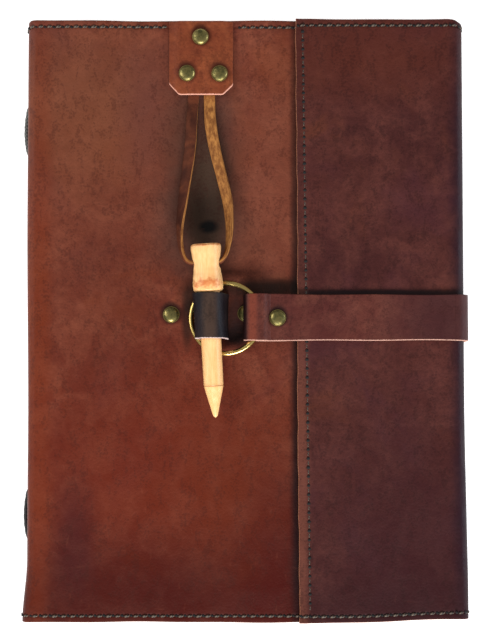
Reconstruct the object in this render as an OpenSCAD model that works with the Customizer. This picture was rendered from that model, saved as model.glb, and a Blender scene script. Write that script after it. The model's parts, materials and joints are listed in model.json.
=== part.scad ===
// Leather notebook cover with a wrap-over flap, closed by a strap and ring
// that a wooden peg locks in a leather keeper. The book lies on its back:
// +X is the fore edge, +Y the head, +Z up. The origin is the centre of the
// back cover's underside.

/* [Cover] */
// Width of the closed cover, from the spine to the fore edge
cover_w = 238.4; // [190:1:300]
// Height of the cover, from tail to head
cover_h = 326; // [270:1:420]
// Thickness of the outer leather
leather_t = 2.2; // [1.6:0.1:3]
// Thickness of the lining leather
lining_t = 1; // [0.6:0.1:1.6]
// Radius of the outside of each fold
fold_r = 5.2; // [4:0.1:7]

/* [Flap] */
// Width of the flap, from its free edge to the fore edge
flap_w = 90.6; // [75:1:100]
// How far the flap is cut above the cover's head edge
flap_rise = 2; // [0:0.5:4]

/* [Paper] */
// Width of the sheets
sheet_w = 210; // [165:1:212]
// Height of the sheets
sheet_h = 297; // [240:1:310]
// Number of sewn sections
section_count = 8; // [4:1:12]
// Thickness of one section
section_t = 2.5; // [1.5:0.1:4]

/* [Strap] */
// Width of the strap
strap_w = 25; // [20:1:32]
// Thickness of the strap
strap_t = 2.2; // [1.6:0.1:3]
// How far the strap reaches past the flap's free edge
strap_reach = 29.4; // [27:0.2:31]
// Height of the strap's middle above the cover's middle
strap_y = 1.1; // [-4:0.5:6]

/* [Ring] */
// Diameter of the ring, to the middle of its wire
ring_d = 38.2; // [36:0.2:40]
// Diameter of the ring's wire
wire_d = 2.8; // [2:0.1:3.4]

/* [Peg] */
// Length of the peg's head
head_l = 25.8; // [24:0.5:30]
// Diameter of the head's top
head_d = 16.6; // [15:0.2:18]
// Length of the shaft below the head, to its tip
shaft_l = 67.6; // [60:1:74]
// Diameter of the shaft where the head ends
shaft_d = 12; // [11:0.2:13]
// Diameter of the hole for the thong
peg_hole_d = 6.6; // [6.4:0.1:7]

/* [Closure] */
// Width of the tab
tab_w = 35; // [30:1:45]
// Length of the tab
tab_l = 41; // [36:1:50]
// Place of the tab's middle, from the cover's middle
tab_x = -23.9; // [-30:0.5:-15]
// Diameter of the rivets' caps
cap_d = 9; // [7:0.5:9]
// Width of the keeper loop, along the peg
keeper_w = 24.5; // [18:0.5:26]
// Thickness of the keeper loop
keeper_t = 1.8; // [1.2:0.1:2]
// Width of the thong
thong_w = 5.6; // [4:0.1:5.8]
// Thickness of the thong
thong_t = 2.2; // [1.6:0.1:2.4]

/* [Hidden] */
$fn = 48;

// Working clearances
gap = 0.2;
hole_gap = 0.1;

// Leather shell
shell_t = leather_t + lining_t;
right = cover_w / 2;
left = -right;
block_z = shell_t + gap;
block_t = section_count * section_t;
front_z = block_z + block_t + gap;
front_top = front_z + shell_t;
flap_z = front_top + gap;
flap_top = flap_z + shell_t;
block_x = left + shell_t + 1.5;
front_w = cover_w - fold_r - shell_t - 2;
panel_w = cover_w - 2 * fold_r;
flap_x = right - flap_w;
flap_h = cover_h + flap_rise;

// Seams: thread bars that lie in a shallow groove
seam_in = 3.4;
flap_seam_in = 4.8;
stitch_pitch = 4.8;
stitch_l = 3.4;
thread_d = 0.9;
thread_h = 0.6;
groove_w = 1.3;
groove_h = 0.7;

// Rivets
post_d = 3;
cap_up = 2;
plate_d = 8;
plate_t = 0.7;

// Strap and ring
strap_seat = flap_top + gap;
fold_x = flap_x - strap_reach;
eye_gap = wire_d + 1.3;
ply_z = front_top + cap_up + gap;
eye_r = (eye_gap + strap_t) / 2;
strap_hinge_x = right - fold_r - 2;
strap_rivet_x = fold_x + 18.6;
ring_y = strap_y - 0.4;
ring_bow = ring_d / 2 - sqrt(pow(ring_d / 2, 2) - pow(strap_w / 2 + 0.4, 2));
ring_mid_x = fold_x + strap_t + 2.3 + ring_bow;
ring_mid_z = ply_z + strap_t + eye_gap / 2;
ring_low_z = front_top + wire_d / 2 + 0.1;
ring_tilt = asin((ring_mid_z - ring_low_z) / ring_d);
ring_x = ring_mid_x - ring_d / 2 * cos(ring_tilt);
ring_z = ring_mid_z - ring_d / 2 * sin(ring_tilt);

// Peg: its head and its shaft rest on the ring, head end higher
peg_lean = 3.31;
peg_off = 9.4;
peg_x = ring_x - peg_off;
peg_y = ring_y + 13.8;
collar_d = shaft_d + 0.4;
shaft_mid_d = shaft_d - 0.8;
tip_d = 2.6;
score_u = 50.5;
bulge_d = head_d - 0.4;
waist_d = head_d - 2;
hole_u = -15.4;
head_seat_y = ring_y + sqrt(pow(ring_d / 2, 2) - pow(peg_off, 2));
shaft_off = peg_off - 32 * tan(peg_lean);
shaft_seat_y = ring_y - sqrt(pow(ring_d / 2, 2) - pow(shaft_off, 2));
function ring_top(off) = ring_z - off * tan(ring_tilt) + wire_d / 2 + gap;
head_seat_z = ring_top(peg_off) + bulge_d / 2;
shaft_seat_z = ring_top(shaft_off) + shaft_mid_d / 2;
peg_tilt = atan((head_seat_z - shaft_seat_z) / (head_seat_y - shaft_seat_y));
peg_z = head_seat_z - (head_seat_y - peg_y) * tan(peg_tilt);

// Keeper: an arch round the peg, its legs skived under the leather
keeper_r = collar_d / 2 + 0.35;
keeper_out = keeper_r + keeper_t;
keeper_y = ring_y + 0.5;
keeper_u = peg_y - keeper_y;
keeper_x = peg_x + keeper_u * tan(peg_lean);
keeper_z = peg_z - keeper_u * tan(peg_tilt);
left_foot = keeper_x - 3.6;
right_foot = keeper_x + 8.6;
leg_t = 0.9;
keeper_caps = [[keeper_x - 21.1, keeper_y + 1.7],
    [keeper_x + 19.4, keeper_y + 2.3]];

// Tab and thong
lace_gap = 1.6;
tab_y = cover_h / 2 + 1;
tab_z = front_top + lace_gap;
tab_caps = [[tab_x - 0.3, tab_y - 9.2], [tab_x - 7.6, tab_y - 29.3],
    [tab_x + 10.2, tab_y - 29.5]];
tail_caps = [[right - 13, strap_y - 6.5], [right - 13, strap_y + 6.5]];

// How far the tab's and the peg's ends of the thong move with the sizes
tab_move = [tab_x + 23.9, tab_y - 164, tab_z - 28.4];
peg_move = [peg_x + 19.62, peg_y - 15.3, peg_z - 39.11];
function thong_place(r) = let (w = min(1, max(0, (124 - r[1]) / 84)))
    [r[0], r[1], r[2]] + tab_move * (1 - w) + peg_move * w;

// The thong's route from the left end under the tab, through the peg's hole
// and back to the tab: place, turn of its flat, and share of its thickness
thong_route = [
    [-26.8, 139, 27.6, 0, 0.55], [-27.2, 131, 27.6, 0, 0.55],
    [-27.9, 124, 27.6, 0, 0.55], [-28.4, 117, 28.2, -4, 0.82],
    [-29, 107, 29.5, -8, 1], [-29.6, 96, 30.1, -14, 1],
    [-30.8, 85, 30.9, -22, 1], [-32.3, 74, 32, -32, 1],
    [-33.8, 63, 33.5, -44, 1], [-34.9, 53, 35.2, -58, 1],
    [-35, 45, 37.1, -70, 1], [-34, 38, 38.7, -80, 1],
    [-32.2, 33, 39.7, -86, 1], [-29.6, 30.9, 40, -90, 1],
    [-26, 30.6, 40, -90, 1], [-21.2, 30.6, 40, -90, 1],
    [-16.4, 30.8, 40, -90, 1], [-12.8, 31.6, 40, -92, 1],
    [-10.4, 34.6, 39.6, -98, 1], [-8.9, 40, 38.5, -106, 1],
    [-8.2, 47, 36.9, -116, 1], [-8.3, 55, 35, -128, 1],
    [-9.4, 65, 33.3, -142, 1], [-12, 76, 31.8, -154, 1],
    [-14.8, 87, 30.7, -164, 1], [-17, 97, 30, -170, 1],
    [-18.6, 107, 29.3, -175, 1], [-19.2, 117, 28.2, -178, 0.82],
    [-19.3, 124, 27.6, -180, 0.55], [-19.3, 131, 27.6, -180, 0.55],
    [-19.3, 139, 27.6, -180, 0.55]];

// A box with its lowest corner at a place
module slab(at, size) translate(at) cube(size);

// Upright holes for rivet posts at a list of places
module post_holes(places, d = post_d + 2 * hole_gap)
    for (p = places) translate([p[0], p[1], -1]) cylinder(d = d, h = 90);

// A rivet: domed cap above z_top, post, and plate that ends at z_low
module rivet(at, z_low, z_top, plate = plate_d) translate([at[0], at[1], 0]) {
    cap_r = (pow(cap_d / 2, 2) + pow(cap_up, 2)) / (2 * cap_up);
    translate([0, 0, z_low]) cylinder(d = plate, h = plate_t);
    translate([0, 0, z_low]) cylinder(d = post_d, h = z_top + 0.3 - z_low);
    translate([0, 0, z_top]) intersection() {
        cylinder(d = cap_d, h = cap_up);
        translate([0, 0, cap_up - cap_r]) sphere(r = cap_r, $fn = 64);
    }
}

// A seam of a given length along its own X, centred on a place on a surface
// whose outside is its own +Z: a row of thread bars, or the groove for them
function stitches_in(length) = floor((length - 6) / stitch_pitch);
module seam(at, turn, length, groove) translate(at) rotate(turn) {
    n = stitches_in(length);
    if (groove) cube([n * stitch_pitch, groove_w, 2 * groove_h], center = true);
    else for (i = [0:n - 1])
        translate([(i - (n - 1) / 2) * stitch_pitch, 0, thread_h / 2 - groove_h])
            cube([stitch_l, thread_d, thread_h], center = true);
}

// The outline of a band of even thickness along a bent line
function unit(v) = v / norm(v);
function across(p, i) = let (d = unit(p[min(i + 1, len(p) - 1)] - p[max(i - 1, 0)]))
    [-d[1], d[0]];
function band(p, t) = concat(
    [for (i = [0:len(p) - 1]) p[i] + across(p, i) * t / 2],
    [for (i = [len(p) - 1:-1:0]) p[i] - across(p, i) * t / 2]);

// A profile drawn in X and Z, carried along Y
module along_y(width, mid_y) translate([0, mid_y + width / 2, 0])
    rotate([90, 0, 0]) linear_extrude(width) children();

// Places its children in the peg's frame: +Z runs from shoulder to tip
module peg_frame() translate([peg_x, peg_y, peg_z])
    rotate([0, 0, peg_lean]) rotate([90 + peg_tilt, 0, 0]) children();

module back_cover() color("saddlebrown") difference() {
    slab([left + fold_r, -cover_h / 2, 0], [panel_w, cover_h, leather_t]);
    back_seams(true);
    post_holes(tail_caps);
    for (p = tail_caps) translate([p[0], p[1], -1])
        cylinder(d = plate_d + 2 * hole_gap, h = 1 + plate_t + hole_gap);
}

module back_lining() color("peru") difference() {
    slab([left + fold_r, -cover_h / 2, leather_t], [panel_w, cover_h, lining_t]);
    post_holes(tail_caps);
}

module spine_wall(x, t) difference() {
    slab([x, -cover_h / 2, fold_r], [t, cover_h, front_top - 2 * fold_r]);
    lace_holes();
}

module spine() color("saddlebrown") difference() {
    spine_wall(left, leather_t);
    spine_seams(true);
}

module spine_lining() color("peru") spine_wall(left + leather_t, lining_t);

// The cover's seams, as thread or as grooves
module back_seams(groove = false) for (side = [-1, 1])
    seam([0, side * (cover_h / 2 - seam_in), 0], [180, 0, 0], panel_w, groove);

module spine_seams(groove = false) for (side = [-1, 1])
    seam([left, side * (cover_h / 2 - seam_in), front_top / 2], [0, -90, 0],
        front_top - 2 * fold_r + 6, groove);

module front_seams(groove = false) for (side = [-1, 1])
    seam([left + fold_r + front_w / 2, side * (cover_h / 2 - seam_in), front_top],
        0, front_w, groove);

module fore_edge_seams(groove = false) for (side = [-1, 1])
    seam([right, side * (cover_h / 2 - seam_in), flap_top / 2], [0, 90, 0],
        flap_top - 2 * fold_r + 6, groove);

module flap_seams(groove = false) {
    for (y = [seam_in - cover_h / 2, flap_h - cover_h / 2 - seam_in])
        seam([flap_x + (flap_w - fold_r) / 2, y, flap_top], 0, flap_w - fold_r, groove);
    seam([flap_x + flap_seam_in, flap_rise / 2, flap_top], [0, 0, 90],
        cover_h - 10, groove);
}

module back_stitching() color("black") back_seams();

module spine_stitching() color("black") spine_seams();

module paper_sections() color("antiquewhite") for (i = [0:section_count - 1])
    slab([block_x, -sheet_h / 2, block_z + i * section_t],
        [sheet_w, sheet_h, section_t - 0.1]);

// Spine laces: a long stitch outside, through two holes to a run inside
lace_d = 2.6;
lace_l = 30;
lace_y = 105.5;
lace_z = front_top / 2;
lace_end = lace_l / 2 - lace_d / 2 - 0.3;

module lace_holes() for (side = [-1, 1], end = [-1, 1])
    translate([left - 1, side * lace_y + end * lace_end, lace_z])
        rotate([0, 90, 0]) cylinder(d = lace_d + 2 * hole_gap, h = shell_t + 2);

module spine_lace(mid_y) {
    for (end = [-1, 1])
        translate([left - 0.6, mid_y + end * lace_end, lace_z])
            rotate([0, 90, 0]) cylinder(d = lace_d, h = shell_t + 0.9);
    intersection() {
        translate([left - 0.05, mid_y, lace_z]) rotate([90, 0, 0])
            cylinder(d = lace_d, h = lace_l, center = true);
        slab([left - 4, mid_y - lace_l, 0], [4, 2 * lace_l, 60]);
    }
    slab([left + shell_t + 0.1, mid_y - lace_l / 2, lace_z - lace_d / 2],
        [1, lace_l, lace_d]);
}

module upper_spine_lace() color("dimgray") spine_lace(lace_y);

module lower_spine_lace() color("black") spine_lace(-lace_y);

module strap_tail() color("sienna") difference() {
    slab([right - 21, strap_y - strap_w / 2, shell_t + 0.05],
        [21 - fold_r, strap_w, strap_t]);
    post_holes(tail_caps);
}

module tail_rivets() color("darkgoldenrod") for (p = tail_caps)
    rivet(p, 0, shell_t + strap_t + 0.05 + hole_gap);

module front_cover() color("saddlebrown") difference() {
    slab([left + fold_r, -cover_h / 2, front_z + lining_t],
        [front_w, cover_h, leather_t]);
    front_seams(true);
    post_holes(tab_caps);
    post_holes(keeper_caps);
    keeper_space();
}

// The slits for the keeper's feet, and the shallow beds of its legs
module keeper_space() {
    w = keeper_w + 0.6;
    for (x = [left_foot, right_foot])
        slab([x - 0.2, keeper_y - w / 2, front_z], [keeper_t + 0.4, w, 10]);
    slab([keeper_caps[0][0] - 7.2, keeper_y - w / 2, front_z],
        [left_foot - keeper_caps[0][0] + 7.2, w, lining_t + leg_t + 0.1]);
    slab([right_foot, keeper_y - w / 2, front_z],
        [keeper_caps[1][0] + 7.2 - right_foot, w, lining_t + leg_t + 0.1]);
}

module front_lining() color("peru") difference() {
    slab([left + fold_r, -cover_h / 2, front_z], [front_w, cover_h, lining_t]);
    post_holes(tab_caps, plate_d + 2 * hole_gap);
    post_holes(keeper_caps, plate_d + 2 * hole_gap);
}

module front_stitching() color("black") front_seams();

module top_tab() color("chocolate") difference() {
    chamfer = 5.5;
    translate([tab_x, tab_y, tab_z]) linear_extrude(leather_t)
        polygon([[-tab_w / 2, 0], [-tab_w / 2, chamfer - tab_l],
            [chamfer - tab_w / 2, -tab_l], [tab_w / 2 - chamfer, -tab_l],
            [tab_w / 2, chamfer - tab_l], [tab_w / 2, 0]]);
    post_holes(tab_caps);
}

module tab_rivets() color("darkgoldenrod") for (p = tab_caps)
    rivet(p, front_z + 0.15, tab_z + leather_t + 0.05);

module keeper_loop() color("#4a3028") difference() {
    bed_z = front_z + lining_t + 0.05;
    union() {
        difference() {
            peg_frame() translate([0, 0, keeper_u - keeper_w / 2]) arch(keeper_w);
            slab([keeper_x - 30, keeper_y - 30, front_top + 0.1 - 20], [60, 60, 20]);
        }
        slab([left_foot, keeper_y - keeper_w / 2, bed_z],
            [keeper_t, keeper_w, keeper_z - keeper_r - bed_z]);
        slab([right_foot, keeper_y - keeper_w / 2, bed_z],
            [keeper_t, keeper_w, leather_t + 0.8]);
        slab([keeper_caps[0][0] - 7, keeper_y - keeper_w / 2, bed_z],
            [left_foot + keeper_t - keeper_caps[0][0] + 7, keeper_w, leg_t]);
        slab([right_foot, keeper_y - keeper_w / 2, bed_z],
            [keeper_caps[1][0] + 7 - right_foot, keeper_w, leg_t]);
    }
    post_holes(keeper_caps);
    peg_frame() translate([0, 0, keeper_u - 40]) cylinder(r = keeper_r, h = 80);
}

// The arch across the peg: round over it and down to both feet
module arch(length) linear_extrude(length) {
    difference() {
        circle(r = keeper_out, $fn = 64);
        circle(r = keeper_r, $fn = 64);
        polygon([[0, 0], [-3.2, -12], [12, -12], [12, 0]]);
    }
    polygon([[keeper_r, 0.5], [keeper_out, 0.5], [keeper_out + 2.2, -12],
        [keeper_r + 2.2, -12]]);
}

module keeper_rivets() color("darkgoldenrod") for (p = keeper_caps)
    rivet(p, front_z + 0.15, front_top + 0.05);

// The thong's ring of eight points at one place of its route
function thong_dir(i) = unit(thong_place(thong_route[min(i + 1, len(thong_route) - 1)])
    - thong_place(thong_route[max(i - 1, 0)]));
function thong_ring(i) = let (r = thong_route[i], d = thong_dir(i),
    a = unit(cross(d, [0, 0, 1])), b = cross(a, d),
    w = thong_w / 2, t = thong_t * r[4] / 2, c = cos(r[3]), s = sin(r[3]))
    [for (q = [[w, t / 2], [w * 0.85, t], [-w * 0.85, t], [-w, t / 2],
        [-w, -t / 2], [-w * 0.85, -t], [w * 0.85, -t], [w, -t / 2]])
        thong_place(r) + a * (q[0] * c - q[1] * s) + b * (q[0] * s + q[1] * c)];

module thong() color("tan") {
    rings = len(thong_route);
    points = [for (i = [0:rings - 1]) each thong_ring(i)];
    polyhedron(points, concat(
        [[for (k = [0:7]) 7 - k]],
        [for (i = [0:rings - 2], k = [0:7]) [i * 8 + k, i * 8 + (k + 1) % 8,
            (i + 1) * 8 + (k + 1) % 8, (i + 1) * 8 + k]],
        [[for (k = [0:7]) (rings - 1) * 8 + k]]), convexity = 6);
}

module toggle_peg() color("wheat") difference() {
    peg_frame() rotate_extrude($fn = 64) polygon([
        [0, -head_l], [head_d / 2 - 2, -head_l], [head_d / 2 - 0.6, 0.6 - head_l],
        [head_d / 2, 2 - head_l], [head_d / 2 - 0.3, 5 - head_l],
        [waist_d / 2, hole_u], [waist_d / 2, hole_u + 3], [bulge_d / 2, -5],
        [bulge_d / 2, -1.5], [bulge_d / 2 - 1, 0], [collar_d / 2, 0],
        [collar_d / 2, 2], [shaft_d / 2 - 0.4, 14], [shaft_d / 2 - 0.6, score_u],
        [tip_d / 2, shaft_l - 0.8], [tip_d / 2 - 0.7, shaft_l], [0, shaft_l]]);
    peg_frame() translate([0, 0, hole_u]) rotate([0, 90, 0])
        cylinder(d = peg_hole_d, h = 2 * head_d, center = true);
}

module fore_edge() color("saddlebrown") difference() {
    slab([right - leather_t, -cover_h / 2, fold_r],
        [leather_t, cover_h, flap_top - 2 * fold_r]);
    fore_edge_seams(true);
}

module fore_edge_lining() color("peru")
    slab([right - shell_t, -cover_h / 2, fold_r],
        [lining_t, cover_h, flap_top - 2 * fold_r]);

module fore_edge_stitching() color("black") fore_edge_seams();

module strap_bend() color("sienna")
    slab([right + gap, strap_y - strap_w / 2, fold_r + 1],
        [strap_t, strap_w, flap_top - 2 * fold_r]);

module flap_panel(z, t) translate([flap_x, -cover_h / 2, z]) linear_extrude(t)
    difference() {
        square([flap_w - fold_r, flap_h]);
        translate([0, flap_h]) rotate(45) square(4, center = true);
    }

module flap() color("saddlebrown") difference() {
    flap_panel(flap_z + lining_t, leather_t);
    flap_seams(true);
}

module flap_lining() color("peru") flap_panel(flap_z, lining_t);

module flap_stitching() color("black") flap_seams();

// The strap's line: short ply, round the ring's eye, rivet, over the flap
function strap_line() = let (t = strap_t / 2, low = ply_z + t,
    turn_x = fold_x + t + eye_r, closed = low + strap_t + 0.15) concat(
    [[strap_rivet_x + 4.2, low], [turn_x + 5, low]],
    [for (a = [0:22.5:180]) [turn_x - eye_r * sin(a), low + eye_r - eye_r * cos(a)]],
    [[turn_x + 6.6, low + 2 * eye_r], [turn_x + 8.8, closed + 0.5],
        [turn_x + 9.4, closed], [strap_rivet_x + 5.4, closed],
        [flap_x - 1.2, strap_seat + t], [strap_hinge_x, strap_seat + t]]);

module strap() color("sienna") difference() {
    along_y(strap_w, strap_y) polygon(band(strap_line(), strap_t));
    post_holes([[strap_rivet_x, strap_y - 0.3]]);
}

module strap_rivet() color("darkgoldenrod")
    rivet([strap_rivet_x, strap_y - 0.3], ply_z - 0.1, ply_z + 2 * strap_t + 0.25,
        post_d);

module ring() color("gold") translate([ring_x, ring_y, ring_z])
    rotate([0, -ring_tilt, 0]) rotate_extrude($fn = 96)
        translate([ring_d / 2, 0]) circle(d = wire_d, $fn = 32);

back_cover();
back_lining();
spine();
spine_lining();
back_stitching();
spine_stitching();
paper_sections();
upper_spine_lace();
lower_spine_lace();
strap_tail();
tail_rivets();
front_cover();
front_lining();
front_stitching();
top_tab();
tab_rivets();
keeper_loop();
keeper_rivets();
thong();
toggle_peg();
fore_edge();
fore_edge_lining();
fore_edge_stitching();
strap_bend();
flap();
flap_lining();
flap_stitching();
strap();
strap_rivet();
ring();
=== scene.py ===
"""Leather notebook cover: the visible leather, thread, metal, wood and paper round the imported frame."""

import json

import bpy
import numpy as np
from bpy.props import FloatProperty, FloatVectorProperty, IntProperty, PointerProperty
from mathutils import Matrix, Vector

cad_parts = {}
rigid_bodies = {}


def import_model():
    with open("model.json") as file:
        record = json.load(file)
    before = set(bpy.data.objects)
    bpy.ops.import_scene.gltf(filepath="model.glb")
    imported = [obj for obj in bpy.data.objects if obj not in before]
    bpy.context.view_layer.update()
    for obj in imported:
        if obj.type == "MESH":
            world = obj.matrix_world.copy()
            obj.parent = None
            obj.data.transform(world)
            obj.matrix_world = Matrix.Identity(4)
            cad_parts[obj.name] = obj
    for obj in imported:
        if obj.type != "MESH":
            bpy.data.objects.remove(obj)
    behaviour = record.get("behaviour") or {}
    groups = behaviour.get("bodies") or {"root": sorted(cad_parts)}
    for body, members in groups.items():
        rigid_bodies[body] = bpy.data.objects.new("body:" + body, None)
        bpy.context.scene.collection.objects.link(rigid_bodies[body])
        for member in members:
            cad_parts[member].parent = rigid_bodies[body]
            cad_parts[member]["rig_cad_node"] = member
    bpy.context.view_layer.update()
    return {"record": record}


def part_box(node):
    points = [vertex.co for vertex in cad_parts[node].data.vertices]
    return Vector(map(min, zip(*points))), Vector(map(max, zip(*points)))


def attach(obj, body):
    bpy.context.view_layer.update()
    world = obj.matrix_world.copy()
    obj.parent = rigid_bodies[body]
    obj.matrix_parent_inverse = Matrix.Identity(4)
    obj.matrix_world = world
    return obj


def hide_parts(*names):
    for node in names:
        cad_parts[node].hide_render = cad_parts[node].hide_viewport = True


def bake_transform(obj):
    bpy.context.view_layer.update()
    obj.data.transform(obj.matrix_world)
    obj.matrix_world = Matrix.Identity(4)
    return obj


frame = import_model()

bl_info = {
    "name": "Leather Notebook Cover",
    "version": (1, 0, 0),
    "blender": (4, 5, 0),
    "location": "View3D > Sidebar > Notebook",
    "description": "Builds a leather notebook cover with a flap, strap, ring and peg",
    "category": "Object",
}

MM = 0.001
SEED = 11
JOINTS = {j["name"]: j for j in frame["record"]["behaviour"]["joints"]}


def box_mm(node):
    """A node's lowest and highest corners, in millimetres."""
    low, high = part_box(node)
    return np.array(low) / MM, np.array(high) / MM


def joint_mm(name):
    """A joint's place, in millimetres."""
    return np.array(JOINTS[name]["pos_m"]) / MM


def srgb(red, green, blue):
    """A colour given as 0 to 255 display values, as the linear values that shaders use."""
    c = np.array([red, green, blue]) / 255
    return tuple(np.where(c < 0.04045, c / 12.92, ((c + 0.055) / 1.055) ** 2.4))


# The cover's main lines, in millimetres, read from the frame
FRONT_LOW, FRONT_HIGH = box_mm("front_cover")
FLAP_LOW, FLAP_HIGH = box_mm("flap")
LEFT, RIGHT = box_mm("spine")[0][0], box_mm("fore_edge")[1][0]
FOLD_R = FRONT_LOW[0] - LEFT
LEATHER_T = FRONT_HIGH[2] - FRONT_LOW[2]
LINING_T = float(np.ptp(box_mm("front_lining"), axis=0)[2])
FRONT_Z, FLAP_Z = FRONT_HIGH[2], FLAP_HIGH[2]
HALF_H = FRONT_HIGH[1]
STRAP_LOW, STRAP_HIGH = box_mm("strap")
STRAP_Y = (STRAP_LOW[1] + STRAP_HIGH[1]) / 2
STRAP_W = STRAP_HIGH[1] - STRAP_LOW[1]
STRAP_T = float(np.ptp(box_mm("strap_tail"), axis=0)[2])
SEAM_IN = 3.4
FLAP_SEAM_IN = 4.8
FLAP_SKEW = 0.7
SEAM_SKEW = 1.1


# ------------------------------------------------------------------ meshes


def smoothstep(low, high, x):
    """0 below low, 1 above high, and 3t^2 - 2t^3 between them."""
    t = np.clip((x - low) / (high - low), 0, 1)
    return t * t * (3 - 2 * t)


SWELL = 0.09  # millimetres that each slow wave lifts the leather


def swell(x, y):
    """How far leather lies off flat at x, y: a sum of five slow waves, each a product of sines."""
    rng = np.random.default_rng(SEED)
    total = np.zeros(np.broadcast(x, y).shape)
    for k in range(5):
        long_x, long_y = rng.uniform(40, 130, 2)
        phase_x, phase_y, turn = rng.uniform(0, 6.28, 3)
        a, b = x * np.cos(turn) - y * np.sin(turn), x * np.sin(turn) + y * np.cos(turn)
        total += np.sin(a / long_x * 6.28 + phase_x) * np.sin(b / long_y * 6.28 + phase_y)
    return total * SWELL


def settle(points):
    """Moves points off the drawn shape as worn leather lies: a slow swell on the upper side, a spine that
    narrows to the tail and flares at its corner, and a fore edge and flap that spread and lift at the
    tail."""
    points = points.copy()
    x, y, z = (points[..., k].copy() for k in range(3))
    at_spine, at_edge = smoothstep(-100, -118, x), smoothstep(90, 119, x)
    points[..., 0] += at_spine * (1.2 * smoothstep(60, -60, y) - 2.4 * smoothstep(-130, -163, y))
    points[..., 0] += at_edge * 1.5 * smoothstep(-40, -163, y)
    points[..., 1] += 2.2 * smoothstep(50, 119, x) * smoothstep(-110, -163, y) * smoothstep(4, 26, z)
    points[..., 2] += swell(x, y) * smoothstep(16, 24, z)
    return points


def new_object(name, points, faces, material, rim=None, uv=None, sharp=35):
    """A mesh object from points in millimetres and faces, with a rim mask and a UV map where given.

    Closed pieces are turned to face outwards: six times their volume is the sum of a . (b x c) over
    triangles.
    """
    points = np.asarray(points, float)
    faces = [list(map(int, f)) for f in faces]
    fans = np.array([(f[0], f[k], f[k + 1]) for f in faces for k in range(1, len(f) - 1)])
    a, b, c = (points[fans[:, k]] - points.mean(0) for k in range(3))
    if np.einsum("ij,ij", a, np.cross(b, c)) < -1e-3:
        faces = [f[::-1] for f in faces]
    mesh = bpy.data.meshes.new(name)
    mesh.from_pydata((points * MM).tolist(), [], faces)
    if rim is not None:
        mask = mesh.attributes.new("rim", "FLOAT", "POINT")
        mask.data.foreach_set("value", np.asarray(rim, np.float32).ravel())
    if uv is not None:
        corners = np.zeros(len(mesh.loops), np.int32)
        mesh.loops.foreach_get("vertex_index", corners)
        layer = mesh.uv_layers.new(name="UVMap")
        layer.data.foreach_set("uv", np.asarray(uv, np.float32)[corners].ravel())
    mesh.shade_smooth()
    mesh.set_sharp_from_angle(angle=np.radians(sharp))
    mesh.materials.append(material)
    mesh.validate()
    obj = bpy.data.objects.new(name, mesh)
    bpy.context.scene.collection.objects.link(obj)
    return obj


def grid_faces(rows, columns, start=0, flip=False, wrap=False):
    """The quads of a grid of rows by columns points, numbered row by row; wrap joins its last column to its
    first."""
    i = np.arange(rows - 1)[:, None]
    j = np.arange(columns if wrap else columns - 1)[None, :]
    k = (j + 1) % columns
    quads = np.stack([i * columns + j, i * columns + k, (i + 1) * columns + k, (i + 1) * columns + j], -1)
    quads = quads.reshape(-1, 4) + start
    return quads[:, ::-1] if flip else quads


def edge_round(distance, radius):
    """How far a rounded edge's surface lies below the flat, at a distance in from the cut: a quarter
    circle."""
    inside = np.clip(radius - distance, 0, radius)
    return radius - np.sqrt(np.maximum(radius**2 - inside**2, 0))


def slab_between(name, outer, inner, depth, material, round_to=0.5, raw=1.15, share=1.0, sharp=38):
    """A sheet with an outer and an inner grid of points, closed round its rim.

    outer and inner are rows x columns x 3. depth is each point's distance in from
    the nearest cut edge; near it both sides draw together along a quarter circle.
    """
    rows, columns = depth.shape
    draw = edge_round(depth, round_to)[..., None]
    across = inner - outer
    across /= np.maximum(np.linalg.norm(across, axis=-1, keepdims=True), 1e-9)
    points = np.concatenate([(outer + across * draw).reshape(-1, 3), (inner - across * draw).reshape(-1, 3)])
    count = rows * columns
    faces = [grid_faces(rows, columns), grid_faces(rows, columns, count, flip=True)]
    ring = np.concatenate([
        np.arange(columns), np.arange(1, rows) * columns + columns - 1,
        (rows - 1) * columns + np.arange(columns - 2, -1, -1), np.arange(rows - 2, 0, -1) * columns,
    ])
    after = np.roll(ring, -1)
    faces.append(np.stack([after, ring, ring + count, after + count], 1))
    rim = np.tile((1 - np.clip(depth / (round_to * raw), 0, 1)) * share, (2, 1, 1))
    return new_object(name, points, np.concatenate(faces), material, rim, sharp=sharp)


def stations(low, high, step, extra=(), edges=(0.0, 0.0)):
    """Places from low to high about step apart, with close ones at either end where edges says so, and the
    extra ones."""
    places = [np.linspace(low, high, max(2, int(round((high - low) / step)) + 1))]
    close = np.array([0.06, 0.16, 0.32, 0.5, 0.9])
    places += [low + close] * bool(edges[0]) + [high - close] * bool(edges[1])
    places = np.unique(np.round(np.concatenate(places + [np.asarray(extra, float)]), 4))
    places = places[(places >= low) & (places <= high)]
    keep = np.concatenate([[True], np.diff(places) > 0.03])
    return places[keep]


def seam_rows(at):
    """Extra places either side of a seam, for the groove that its thread pulls."""
    return [at + d for d in (-1.6, -1.1, -0.7, -0.35, 0, 0.35, 0.7, 1.1, 1.6)]


def groove(distance, deep=0.3):
    """The depth of a seam's groove at a distance from its thread: a bell curve."""
    return deep * np.exp(-((distance / 0.8) ** 2))


def arc(centre, radius, start, stop, count=12):
    """Points on an arc in X and Z, with angles in degrees from +X towards +Z."""
    a = np.radians(np.linspace(start, stop, count))
    return np.stack([centre[0] + radius * np.cos(a), centre[1] + radius * np.sin(a)], 1)


def line_normals(line):
    """The unit normals of a line in X and Z, turned a quarter left of its direction."""
    along = np.gradient(line, axis=0)
    along /= np.linalg.norm(along, axis=1, keepdims=True)
    return np.stack([-along[:, 1], along[:, 0]], 1)


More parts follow.
